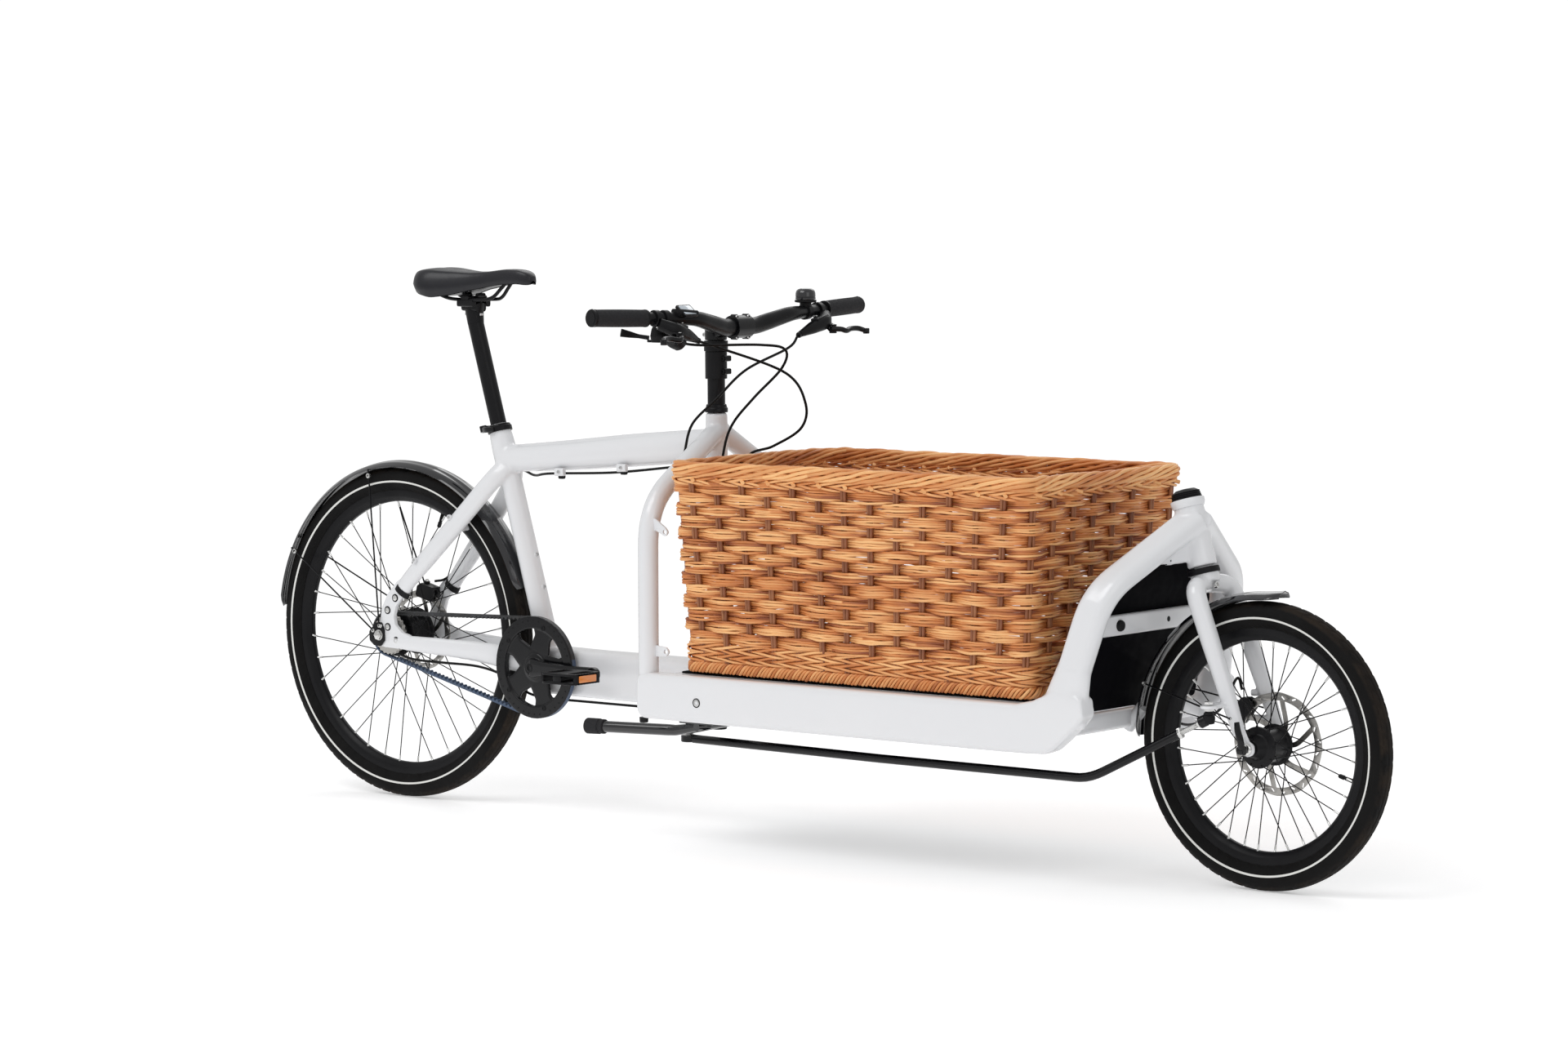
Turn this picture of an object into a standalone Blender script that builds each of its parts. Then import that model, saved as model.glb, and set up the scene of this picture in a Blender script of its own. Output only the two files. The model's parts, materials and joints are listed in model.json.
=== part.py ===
"""Cargo bicycle with a wicker basket between the head tubes, in metres, +Z up.

The bicycle faces +X and its left side is +Y. Everything is laid out from the rear axle:
x = 0 at the rear axle, y = 0 in the middle plane, z = 0 on the ground. One empty carries all
the objects and moves them so that the origin lies under the middle of the whole bicycle.
"""
import bpy
import bmesh
from math import asin, atan2, cos, pi, radians, sin, tan
from mathutils import Vector

# ---------------------------------------------------------------- driving dimensions
GAP = 0.0003                 # left between two pieces that touch
WHEELBASE = 2.033
TYRE_WIDTH = 0.047
REAR_TYRE_R = 0.3265
REAR_BEAD_R = 0.2795         # 28 inch rim
FRONT_TYRE_R = 0.2500
FRONT_BEAD_R = 0.2030        # 20 inch rim
WHEEL_SIDES = 36
SPOKES = 36

SEAT_ANGLE = radians(73.6)
CRANK_X, CRANK_Z = 0.388, 0.285
CRANK_LENGTH = 0.170
HEAD_X = 0.805               # upright rear steering column
FORK_LEAN = radians(15.9)    # front steering axis, leaning back
FORK_AXIS_X = 1.987          # where that axis crosses the height of the front axle
RAIL_OUTER_Y = 0.235         # outer faces of the two cargo rails
RAIL_WIDTH = 0.040
RAIL_LOW, RAIL_TOP = 0.234, 0.320
RAIL_REAR_X = 0.803

BASKET_LENGTH = 0.797        # at its foot
BASKET_WIDTH = 0.430
BASKET_HEIGHT = 0.388
BASKET_REAR_X = 0.893
BASKET_FLARE = 0.016         # each side, at the rim
BASKET_WALL = 0.022

BAR_HALF_WIDTH = 0.384
MUDGUARD_TAIL = radians(174) # rear mudguard's end, counted up from straight ahead
REAR_GUARD_R = 0.3398
FRONT_GUARD_R = 0.2660
ARM_LENGTH = 0.1065          # steering arm under the rear column, sideways
ARM_FORWARD = 0.0170         # and how far its ball stands ahead of the column
PEDAL_Y = 0.140              # middle of each pedal
STAND_HALF_WIDTH = 0.166     # the stand's cross tube
DECK_THICK = 0.0032
HOSE_DIAMETER = 0.005

REAR_AXLE = Vector((0, 0, REAR_TYRE_R))
FRONT_AXLE = Vector((WHEELBASE, 0, FRONT_TYRE_R))
CRANK_AXIS = Vector((CRANK_X, 0, CRANK_Z))
SEAT_DIR = Vector((-cos(SEAT_ANGLE), 0, sin(SEAT_ANGLE)))
FORK_DIR = Vector((-sin(FORK_LEAN), 0, cos(FORK_LEAN)))
MIDDLE_X = (WHEELBASE + FRONT_TYRE_R + REAR_GUARD_R * cos(MUDGUARD_TAIL)) / 2

SIDES = (("right", -1), ("left", 1))
FORWARD = Vector((1, 0, 0))
ALONG_Y = Vector((0, 1, 0))
UP = Vector((0, 0, 1))

# ---------------------------------------------------------------- finishes
FINISHES = {                 # colour, roughness, metallic
    "white_paint": ((0.86, 0.87, 0.89), 0.28, 0.0),
    "black_paint": ((0.012, 0.012, 0.014), 0.30, 0.0),
    "black_anodised": ((0.020, 0.020, 0.022), 0.38, 0.6),
    "black_plastic": ((0.025, 0.025, 0.027), 0.55, 0.0),
    "rubber": ((0.022, 0.022, 0.022), 0.80, 0.0),
    "grip_rubber": ((0.060, 0.060, 0.063), 0.85, 0.0),
    "steel": ((0.62, 0.61, 0.59), 0.30, 1.0),
    "wicker": ((0.62, 0.30, 0.11), 0.65, 0.0),
    "saddle_cover": ((0.030, 0.030, 0.032), 0.50, 0.0),
    "hose": ((0.015, 0.015, 0.015), 0.45, 0.0),
}

for leftover in list(bpy.data.objects):
    bpy.data.objects.remove(leftover, do_unlink=True)

bicycle = bpy.data.objects.new("bicycle", None)
bpy.context.collection.objects.link(bicycle)
bicycle.location = (-MIDDLE_X, 0, 0)


def material(finish):
    """The Principled material of one finish, made once."""
    found = bpy.data.materials.get(finish)
    if found:
        return found
    colour, roughness, metallic = FINISHES[finish]
    made = bpy.data.materials.new(finish)
    made.use_nodes = True
    shader = made.node_tree.nodes["Principled BSDF"]
    shader.inputs["Base Color"].default_value = (*colour, 1)
    shader.inputs["Roughness"].default_value = roughness
    shader.inputs["Metallic"].default_value = metallic
    return made


# ---------------------------------------------------------------- shape tools
def place(name, bm, finish, pivot=(0, 0, 0), guide=False):
    """Makes an object of bm, whose origin is pivot. A guide is a Boolean's helper."""
    pivot = Vector(pivot)
    bmesh.ops.recalc_face_normals(bm, faces=bm.faces)
    if bm.calc_volume(signed=True) < 0:
        bmesh.ops.reverse_faces(bm, faces=bm.faces)
    bmesh.ops.translate(bm, verts=bm.verts, vec=-pivot)
    mesh = bpy.data.meshes.new(name)
    bm.to_mesh(mesh)
    bm.free()
    mesh.shade_smooth()
    mesh.set_sharp_from_angle(angle=radians(35))
    mesh.materials.append(material(finish))
    ob = bpy.data.objects.new(name, mesh)
    bpy.context.collection.objects.link(ob)
    ob.parent = bicycle
    ob.location = pivot
    if guide:
        ob.hide_render = True
        ob.display_type = "WIRE"
    return ob


def combine(ob, operation, bm):
    """Adds (UNION) or cuts away (DIFFERENCE) the solid bm."""
    helper = place(ob.name + "_guide", bm, "steel", guide=True)
    boolean = ob.modifiers.new("solid", "BOOLEAN")
    boolean.operation = operation
    boolean.object = helper
    return ob


def skin(rings, closed=False):
    """Joins rings of equally many points into one closed solid."""
    bm = bmesh.new()
    loops = [[bm.verts.new(point) for point in ring] for ring in rings]
    count = len(loops[0])
    pairs = list(zip(loops, loops[1:]))
    if closed:
        pairs.append((loops[-1], loops[0]))
    for low, high in pairs:
        for i in range(count):
            j = (i + 1) % count
            bm.faces.new((low[i], low[j], high[j], high[i]))
    if not closed:
        bm.faces.new(loops[0][::-1])
        bm.faces.new(loops[-1])
    return bm


def circle(radius, sides=12):
    return [(radius * cos(2 * pi * i / sides), radius * sin(2 * pi * i / sides)) for i in range(sides)]


def oval(width, height, sides=12):
    return [(width / 2 * u, height / 2 * v) for u, v in circle(1, sides)]


def rounded_box(width, height, corner):
    """An eight-sided section: a rectangle with its corners cut."""
    w, h = width / 2, height / 2
    return [(w, h - corner), (w - corner, h), (corner - w, h), (-w, h - corner),
            (-w, corner - h), (corner - w, -h), (w - corner, -h), (w, corner - h)]


def sweep(path, sections, side=ALONG_Y):
    """Carries one section, or one for each point, along a path.

    A section's first axis lies nearest to the direction side, its second square to that and the path.
    """
    path = [Vector(p) for p in path]
    if not isinstance(sections[0][0], (list, tuple)):
        sections = [sections] * len(path)
    rings = []
    for i, point in enumerate(path):
        ahead = path[min(i + 1, len(path) - 1)] - point
        behind = point - path[max(i - 1, 0)]
        forward = (ahead.normalized() + behind.normalized()).normalized()
        across = (side - forward * side.dot(forward)).normalized()
        up = across.cross(forward)
        rings.append([point + across * u + up * v for u, v in sections[i]])
    return skin(rings)


def rounded(corners, radius, steps=4):
    """A polyline whose inner corners are turned into arcs."""
    corners = [Vector(c) for c in corners]
    path = [corners[0]]
    for before, corner, after in zip(corners, corners[1:], corners[2:]):
        a = (before - corner).normalized()
        b = (after - corner).normalized()
        half = a.angle(b) / 2
        reach = min(radius / tan(half), 0.48 * min((before - corner).length, (after - corner).length))
        turn = reach * tan(half)
        centre = corner + (a + b).normalized() * (turn / sin(half))
        start = corner + a * reach - centre
        end = corner + b * reach - centre
        opening = start.angle(end)
        for k in range(steps + 1):
            t = k / steps
            weight_a = sin((1 - t) * opening) / sin(opening)
            weight_b = sin(t * opening) / sin(opening)
            path.append(centre + start * weight_a + end * weight_b)
    path.append(corners[-1])
    return path


def smooth_curve(points, spacing):
    """Evenly spaced points on a Catmull-Rom curve through the given ones."""
    points = [Vector(p) for p in points]
    ends = [2 * points[0] - points[1]] + points + [2 * points[-1] - points[-2]]
    fine = []
    for a, b, c, d in zip(ends, ends[1:], ends[2:], ends[3:]):
        for k in range(24):
            t = k / 24
            fine.append(0.5 * (2 * b + (c - a) * t + (2 * a - 5 * b + 4 * c - d) * t ** 2
                               + (3 * b - a - 3 * c + d) * t ** 3))
    fine.append(points[-1])
    picked = [fine[0]]
    travelled = 0
    for before, after in zip(fine, fine[1:]):
        travelled += (after - before).length
        if travelled >= spacing:
            picked.append(after)
            travelled = 0
    if (picked[-1] - fine[-1]).length < spacing / 2:
        picked.pop()
    return picked + [fine[-1]]


def turned(profile, sides, centre, bore=True):
    """A solid turned about a line along Y through centre.

    The profile's points are (y, radius); with a bore they close into a loop, else the ends are capped.
    """
    rings = []
    for y, radius in profile:
        rings.append([centre + Vector((u, y, v)) for u, v in circle(radius, sides)])
    return skin(rings, closed=bore)


def hollow_tube(start, end, outer, inner, sides=16, floor=None):
    """A straight tube along start-end; floor is how deep its bore goes from the end."""
    start, end = Vector(start), Vector(end)
    along = (end - start).normalized()
    across = (ALONG_Y - along * ALONG_Y.dot(along)).normalized()
    up = across.cross(along)

    def ring(point, radius):
        return [point + across * u + up * v for u, v in circle(radius, sides)]

    rings = [ring(start, outer), ring(end, outer), ring(end, inner)]
    if floor is None:
        return skin(rings + [ring(start, inner)], closed=True)
    return skin(rings + [ring(end - along * floor, inner)])


def block(low, high, corner=0.0):
    """A box between two corners, its upright edges cut when a corner is given."""
    low, high = Vector(low), Vector(high)
    middle = (low + high) / 2
    size = high - low
    if corner:
        outline = rounded_box(size.x, size.y, corner)
    else:
        outline = [(size.x / 2, size.y / 2), (-size.x / 2, size.y / 2),
                   (-size.x / 2, -size.y / 2), (size.x / 2, -size.y / 2)]
    return skin([[Vector((middle.x + u, middle.y + v, z)) for u, v in outline] for z in (low.z, high.z)])


def plate(outline, thickness, across=ALONG_Y, at=Vector((0, 0, 0))):
    """A flat plate: its outline's points are placed already, and it is thick along across."""
    half = across.normalized() * thickness / 2
    return skin([[Vector(p) + at - half for p in outline], [Vector(p) + at + half for p in outline]])


def fork_point(z, forward=0.0, y=0.0):
    """A point beside the front steering axis, at a height."""
    return Vector((FORK_AXIS_X - (z - FRONT_TYRE_R) * tan(FORK_LEAN) + forward, y, z))


# ---------------------------------------------------------------- wheels
def tyre(name, axle, outer_r, bead_r):
    """A carcass open towards the rim."""
    mid = outer_r - TYRE_WIDTH / 2
    half = TYRE_WIDTH / 2
    wall = 0.004
    outside = [(-0.0125, bead_r), (-half, mid - 0.002), (-0.0170, mid + 0.0165), (-0.0060, outer_r)]
    inside = [(0.0085, bead_r), (half - wall, mid - 0.001)]
    profile = outside + [(-y, r) for y, r in outside[::-1]]
    profile += inside + [(-y, r) for y, r in inside[::-1]]
    return place(name, turned(profile, WHEEL_SIDES, axle), "rubber", axle)


def rim(name, axle, bead_r):
    bed = bead_r - 0.0004
    side = [(-0.0125, bed), (-0.0125, bed - 0.010), (-0.0045, bed - 0.020)]
    profile = side + [(-y, r) for y, r in side[::-1]]
    return place(name, turned(profile, WHEEL_SIDES, axle), "black_paint", axle)


def hub(name, axle, profile, flanges, bead_r):
    """A turned hub with its brake disc, and straight spokes to the rim."""
    wheel_hub = place(name, turned(profile, 16, axle), "black_anodised", axle)
    spoke_bm = bmesh.new()
    nipple_r = (bead_r - 0.0004 - 0.020) * cos(pi / WHEEL_SIDES) - 0.001
    for k in range(SPOKES):
        angle = 2 * pi * (k + 0.5) / SPOKES
        flange_y, flange_r = flanges[k % 2]
        outward = Vector((sin(angle), 0, -cos(angle)))
        start = axle + outward * (flange_r - 0.005) + ALONG_Y * flange_y
        end = axle + outward * nipple_r
        one = sweep([start, end], circle(0.0014, 3))
        bmesh.ops.recalc_face_normals(one, faces=one.faces)
        mesh = bpy.data.meshes.new("spoke")
        one.to_mesh(mesh)
        one.free()
        spoke_bm.from_mesh(mesh)
        bpy.data.meshes.remove(mesh)
    return combine(wheel_hub, "UNION", spoke_bm)


def make_wheels():
    tyre("rear_tyre", REAR_AXLE, REAR_TYRE_R, REAR_BEAD_R)
    rim("rear_rim", REAR_AXLE, REAR_BEAD_R)
    rear_profile = [(-0.040, 0.020), (-0.034, 0.030), (-0.031, 0.046), (-0.027, 0.046), (-0.024, 0.038),
                    (0.023, 0.038), (0.026, 0.046), (0.030, 0.046), (0.033, 0.024), (0.0385, 0.024),
                    (0.0385, 0.080), (0.0405, 0.080), (0.0405, 0.020), (0.058, 0.018),
                    (0.058, 0.0075), (-0.040, 0.0075)]
    hub("rear_hub", REAR_AXLE, rear_profile, ((-0.029, 0.046), (0.028, 0.046)), REAR_BEAD_R)
    tyre("front_tyre", FRONT_AXLE, FRONT_TYRE_R, FRONT_BEAD_R)
    rim("front_rim", FRONT_AXLE, FRONT_BEAD_R)
    front_profile = [(-0.046, 0.014), (-0.030, 0.022), (-0.027, 0.036), (-0.023, 0.036), (-0.019, 0.031),
                     (0.019, 0.031), (0.023, 0.036), (0.027, 0.036), (0.031, 0.022), (0.0345, 0.022),
                     (0.0345, 0.090), (0.0365, 0.090), (0.0365, 0.018), (0.046, 0.013),
                     (0.046, 0.0060), (-0.046, 0.0060)]
    hub("front_hub", FRONT_AXLE, front_profile, ((-0.025, 0.036), (0.025, 0.036)), FRONT_BEAD_R)


def make_axles():
    nut, thread, shaft = 0.0095, 0.0050, 0.0065
    half = [(-0.0880, thread), (-0.0830, thread), (-0.0830, nut), (-0.0755, nut), (-0.0755, shaft)]
    place("rear_axle", turned(half + [(-y, r) for y, r in half[::-1]], 12, REAR_AXLE, bore=False), "steel")
    profile = [(-0.0665, 0.0090), (-0.0640, 0.0110), (-0.0613, 0.0110), (-0.0613, 0.0045),
               (0.0613, 0.0045), (0.0613, 0.0100), (0.0680, 0.0100), (0.0700, 0.0070)]
    place("front_axle", turned(profile, 12, FRONT_AXLE, bore=False), "steel")


# ---------------------------------------------------------------- frame
SEAT_TUBE_R, SEAT_BORE_R, SEATPOST_R = 0.0195, 0.0162, 0.0156
HEAD_R, HEAD_BORE_R, COLUMN_R = 0.0200, 0.0168, 0.0150
FRONT_HEAD_R, FRONT_BORE_R, STEERER_R = 0.0260, 0.0180, 0.0150
BEAM_HALF_W = 0.034
BEAM_LOW, BEAM_TOP = 0.230, 0.3197
SEAT_TUBE_TOP = 0.478        # along the tube from the crank axis
POST_TOP = 0.690
POST_BOTTOM = 0.330


def seat_point(along):
    return CRANK_AXIS + SEAT_DIR * along


def make_main_frame():
    place("seat_tube", hollow_tube(seat_point(0.0465), seat_point(SEAT_TUBE_TOP), SEAT_TUBE_R, SEAT_BORE_R,
                                   floor=0.270), "white_paint")
    top_path = [(0.318, 0, 0.681), (0.45, 0, 0.693), (0.60, 0, 0.707), (HEAD_X - HEAD_R - 0.004, 0, 0.724)]
    top_sections = [oval(0.044, 0.046), oval(0.047, 0.049), oval(0.048, 0.052), oval(0.038, 0.056)]
    place("top_tube", sweep(top_path, top_sections), "white_paint")
    head_tube = hollow_tube((HEAD_X, 0, BEAM_TOP + GAP), (HEAD_X, 0, 0.785), HEAD_R, HEAD_BORE_R)
    place("rear_head_tube", head_tube, "white_paint")

    beam = place("main_beam", sweep([(CRANK_X - 0.034, 0, 0.277), (0.50, 0, 0.275), (0.875, 0, 0.2749)],
                                    rounded_box(2 * BEAM_HALF_W, BEAM_TOP - BEAM_LOW, 0.012)), "white_paint")
    combine(beam, "UNION", turned([(-0.0360, 0.026), (0.0360, 0.026)], 20, CRANK_AXIS, bore=False))
    cross_low, cross_high = (0.832, -0.1946, RAIL_LOW + 0.004), (0.872, 0.1946, RAIL_TOP - 0.006)
    combine(beam, "UNION", block(cross_low, cross_high))
    combine(beam, "DIFFERENCE", sweep([(HEAD_X, 0, 0.20), (HEAD_X, 0, 0.34)], circle(HEAD_BORE_R, 16)))
    combine(beam, "DIFFERENCE", turned([(-0.05, 0.0152), (0.05, 0.0152)], 16, CRANK_AXIS, bore=False))


def make_rear_triangle():
    for side, sign in SIDES:
        stay = [(0.030, sign * 0.0715, 0.378), (0.078, sign * 0.0695, 0.441),
                (0.187, sign * 0.050, 0.5545), (0.262, sign * 0.0335, 0.638)]
        sections = [oval(0.016, 0.030), oval(0.019, 0.034), oval(0.021, 0.034), oval(0.019, 0.030)]
        place(f"seatstay_{side}", sweep(rounded(stay, 0.15, 2), resampled(sections, stay)), "white_paint")
        low = [(0.017, sign * 0.0715, 0.3215), (0.045, sign * 0.0715, 0.3155), (0.10, sign * 0.0690, 0.3130),
               (0.23, sign * 0.0410, 0.3045), (0.352, sign * 0.0273, 0.2900)]
        sections = [oval(0.0075, 0.024), oval(0.013, 0.028), oval(0.018, 0.032), oval(0.020, 0.040),
                    oval(0.016, 0.042)]
        chainstay = place(f"chainstay_{side}", sweep(low, sections), "white_paint")
        ring_ys = sorted((sign * 0.0680, sign * 0.0750))
        ring = [(ring_ys[0], 0.0072), (ring_ys[0], 0.0230), (ring_ys[1], 0.0230), (ring_ys[1], 0.0072)]
        arm = [(0.012, sign * 0.0715, 0.345), (0.024, sign * 0.0715, 0.3705)]
        combine(chainstay, "UNION", turned(ring, 20, REAR_AXLE))
        combine(chainstay, "UNION", sweep(arm, rounded_box(0.0070, 0.026, 0.002)))
        combine(chainstay, "DIFFERENCE", turned([(-0.1, 0.0072), (0.1, 0.0072)], 20, REAR_AXLE, bore=False))
        beam_end = block((0.30, -BEAM_HALF_W - 0.001, 0.20), (0.50, BEAM_HALF_W + 0.001, 0.35))
        combine(chainstay, "DIFFERENCE", beam_end)


def resampled(sections, corners):
    """The sections of a polyline's corners, spread over the points of its rounded form (2 steps)."""
    spread = [sections[0]]
    for section in sections[1:-1]:
        spread += [section] * 3
    return spread + [sections[-1]]


def side_rail(side, sign):
    """A box-section rail, raked at its front end."""
    y = sign * (RAIL_OUTER_Y - RAIL_WIDTH / 2)
    # x and z of the lower edge and of the upper edge, at each station
    stations = [(0.804, 0.248, 0.804, 0.309), (0.819, RAIL_LOW, 0.813, RAIL_TOP),
                (1.640, RAIL_LOW, 1.678, RAIL_TOP), (1.700, 0.235, 1.712, 0.3310),
                (1.745, 0.2370, 1.740, 0.3450), (1.790, 0.2790, 1.785, 0.3460),
                (1.816, 0.3050, 1.811, 0.3360)]
    rings = []
    for low_x, low_z, high_x, high_z in stations:
        low = Vector((low_x, y, low_z))
        high = Vector((high_x, y, high_z))
        middle = (low + high) / 2
        up = (high - low).normalized()
        depth = (high - low).length
        outline = rounded_box(RAIL_WIDTH, depth, min(0.008, depth / 3))
        rings.append([middle + ALONG_Y * u + up * v for u, v in outline])
    place(f"side_rail_{side}", skin(rings), "white_paint")


def make_cargo_frame():
    inner_y = RAIL_OUTER_Y - RAIL_WIDTH
    for side, sign in SIDES:
        side_rail(side, sign)
        hoop = [(0.818, sign * 0.214, RAIL_TOP + GAP), (0.818, sign * 0.212, 0.625),
                (0.808, sign * 0.036, 0.732)]
        place(f"rear_hoop_{side}", sweep(rounded(hoop, 0.10, 6), circle(0.019, 12), FORWARD),
              "white_paint")

        riser = [(1.771, sign * 0.2135, 0.3560), (1.822, sign * 0.197, 0.505), (1.872, sign * 0.041, 0.618)]
        path = rounded(riser, 0.12, 6)
        section = rounded_box(0.046, 0.034, 0.009)
        place(f"front_riser_{side}", sweep(path, section, FORWARD), "white_paint")

    top, bottom = fork_point(0.657), fork_point(0.552)
    place("front_head_tube", hollow_tube(bottom, top, FRONT_HEAD_R, FRONT_BORE_R), "white_paint")
    span = inner_y - GAP
    cross = sweep([(1.744, -span, 0.280), (1.744, span, 0.280)], rounded_box(0.026, 0.034, 0.008), FORWARD)
    place("front_cross_tube", cross, "white_paint")
    deck = block((0.880, -0.226, RAIL_TOP + GAP), (1.676, 0.226, RAIL_TOP + GAP + DECK_THICK))
    place("deck_panel", deck, "black_plastic")

    lean = Vector((1, 0, -0.22)).normalized()
    corners = [(1.752, -0.172, 0.302), (1.752, 0.172, 0.302), (1.798, 0.166, 0.500), (1.822, 0.060, 0.585),
               (1.822, -0.060, 0.585), (1.798, -0.166, 0.500)]
    place("front_panel", plate(corners, 0.004, lean), "black_plastic")


# ---------------------------------------------------------------- basket
def basket_ring(z, inset, corner=0.034, steps=3):
    """The basket's outline at a height, inset from its outside."""
    flare = BASKET_FLARE * (z - RAIL_TOP) / BASKET_HEIGHT
    half_x = BASKET_LENGTH / 2 + flare - inset
    half_y = BASKET_WIDTH / 2 + flare * 1.5 - inset
    middle = BASKET_REAR_X + BASKET_LENGTH / 2
    turn = max(corner - inset, 0.01)
    ring = []
    for quarter, (sx, sy) in enumerate(((1, 1), (-1, 1), (-1, -1), (1, -1))):
        for k in range(steps + 1):
            angle = pi / 2 * (quarter + k / steps)
            ring.append(Vector((middle + sx * (half_x - turn) + turn * cos(angle),
                                sy * (half_y - turn) + turn * sin(angle), z)))
    return ring


def make_basket():
    foot = RAIL_TOP + 0.0038
    rim_z = foot + BASKET_HEIGHT
    rings = [basket_ring(foot, 0), basket_ring(rim_z, 0), basket_ring(rim_z, BASKET_WALL),
             basket_ring(foot + 0.012, BASKET_WALL)]
    place("basket", skin(rings), "wicker")


# ---------------------------------------------------------------- mudguards, calipers, stand
def mudguard(name, axle, radius, start, end, steps, pivot=(0, 0, 0)):
    """A crowned strip round a wheel, from one angle to another, counted up from straight ahead."""
    half, drop, thick = 0.0280, 0.011, 0.0018
    shoulder, shoulder_drop = half * 0.62, drop * 0.28
    crown = [(-half, -drop), (-shoulder, -shoulder_drop), (0, 0), (shoulder, -shoulder_drop), (half, -drop)]
    section = crown + [(y * 0.95, depth - thick) for y, depth in crown[::-1]]
    rings = []
    for k in range(steps + 1):
        angle = start + (end - start) * k / steps
        outward = Vector((cos(angle), 0, sin(angle)))
        rings.append([axle + outward * (radius + depth) + ALONG_Y * y for y, depth in section])
    return place(name, skin(rings), "black_paint", pivot)


def caliper(name, axle, angle, disc_r, disc_y, outer_y, pivot=(0, 0, 0)):
    """A brake caliper: a block with a slot that the disc's edge runs in."""
    out = Vector((cos(angle), 0, sin(angle)))
    along = Vector((-sin(angle), 0, cos(angle)))
    slot, inner, depth = 0.0035, 0.0088, 0.016
    roof, top, half_length = 0.003, 0.014, 0.024
    section = [(disc_y - inner, -depth), (disc_y - slot, -depth), (disc_y - slot, roof),
               (disc_y + slot, roof), (disc_y + slot, -depth), (outer_y, -depth), (outer_y, top),
               (disc_y - inner, top)]
    rings = []
    for shift in (-half_length, half_length):
        rings.append([axle + out * (disc_r + rise) + along * shift + ALONG_Y * y for y, rise in section])
    return place(name, skin(rings), "black_anodised", pivot)


STAND_PIVOT = Vector((0.890, 0, 0.2165))


def make_stand():
    """A two-legged stand, folded back under the rails; each leg ends in a rubber foot."""
    cross_plate = block((0.872, -0.172, 0.2250), (0.950, 0.172, RAIL_LOW - GAP - 0.0040))
    bracket = place("stand_bracket", cross_plate, "black_paint")
    for _, sign in SIDES:
        ys = sorted((sign * 0.125, sign * 0.194))
        combine(bracket, "UNION", block((0.8725, ys[0], 0.2262), (0.9495, ys[1], RAIL_LOW - GAP)))
    ends = [STAND_PIVOT + ALONG_Y * STAND_HALF_WIDTH, STAND_PIVOT - ALONG_Y * STAND_HALF_WIDTH]
    stand = place("kickstand", sweep(ends, circle(0.0075, 10), FORWARD), "black_paint", STAND_PIVOT)
    for _, sign in SIDES:
        leg = [STAND_PIVOT + Vector((-0.001, sign * 0.152, 0)),
               STAND_PIVOT + Vector((-0.055, sign * 0.158, -0.010)),
               Vector((0.690, sign * 0.186, 0.2055)), Vector((0.655, sign * 0.190, 0.2050))]
        radii = [0.0075, 0.0105, 0.0110, 0.0110]
        combine(stand, "UNION", sweep(leg, [circle(r, 10) for r in radii]))
        foot = [Vector((0.686, sign * 0.1865, 0.2054)), Vector((0.645, sign * 0.1912, 0.2049))]
        combine(stand, "UNION", sweep(foot, circle(0.0150, 10)))


# ---------------------------------------------------------------- drive
CHAIN_Y = -0.0480            # middle plane of the toothed belt
CHAINRING_R = 0.0940
SPROCKET_R = 0.0410
BELT_THICK = 0.0040
BELT_HALF_W = 0.0055
SPIDER_ARMS = 5


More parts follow.
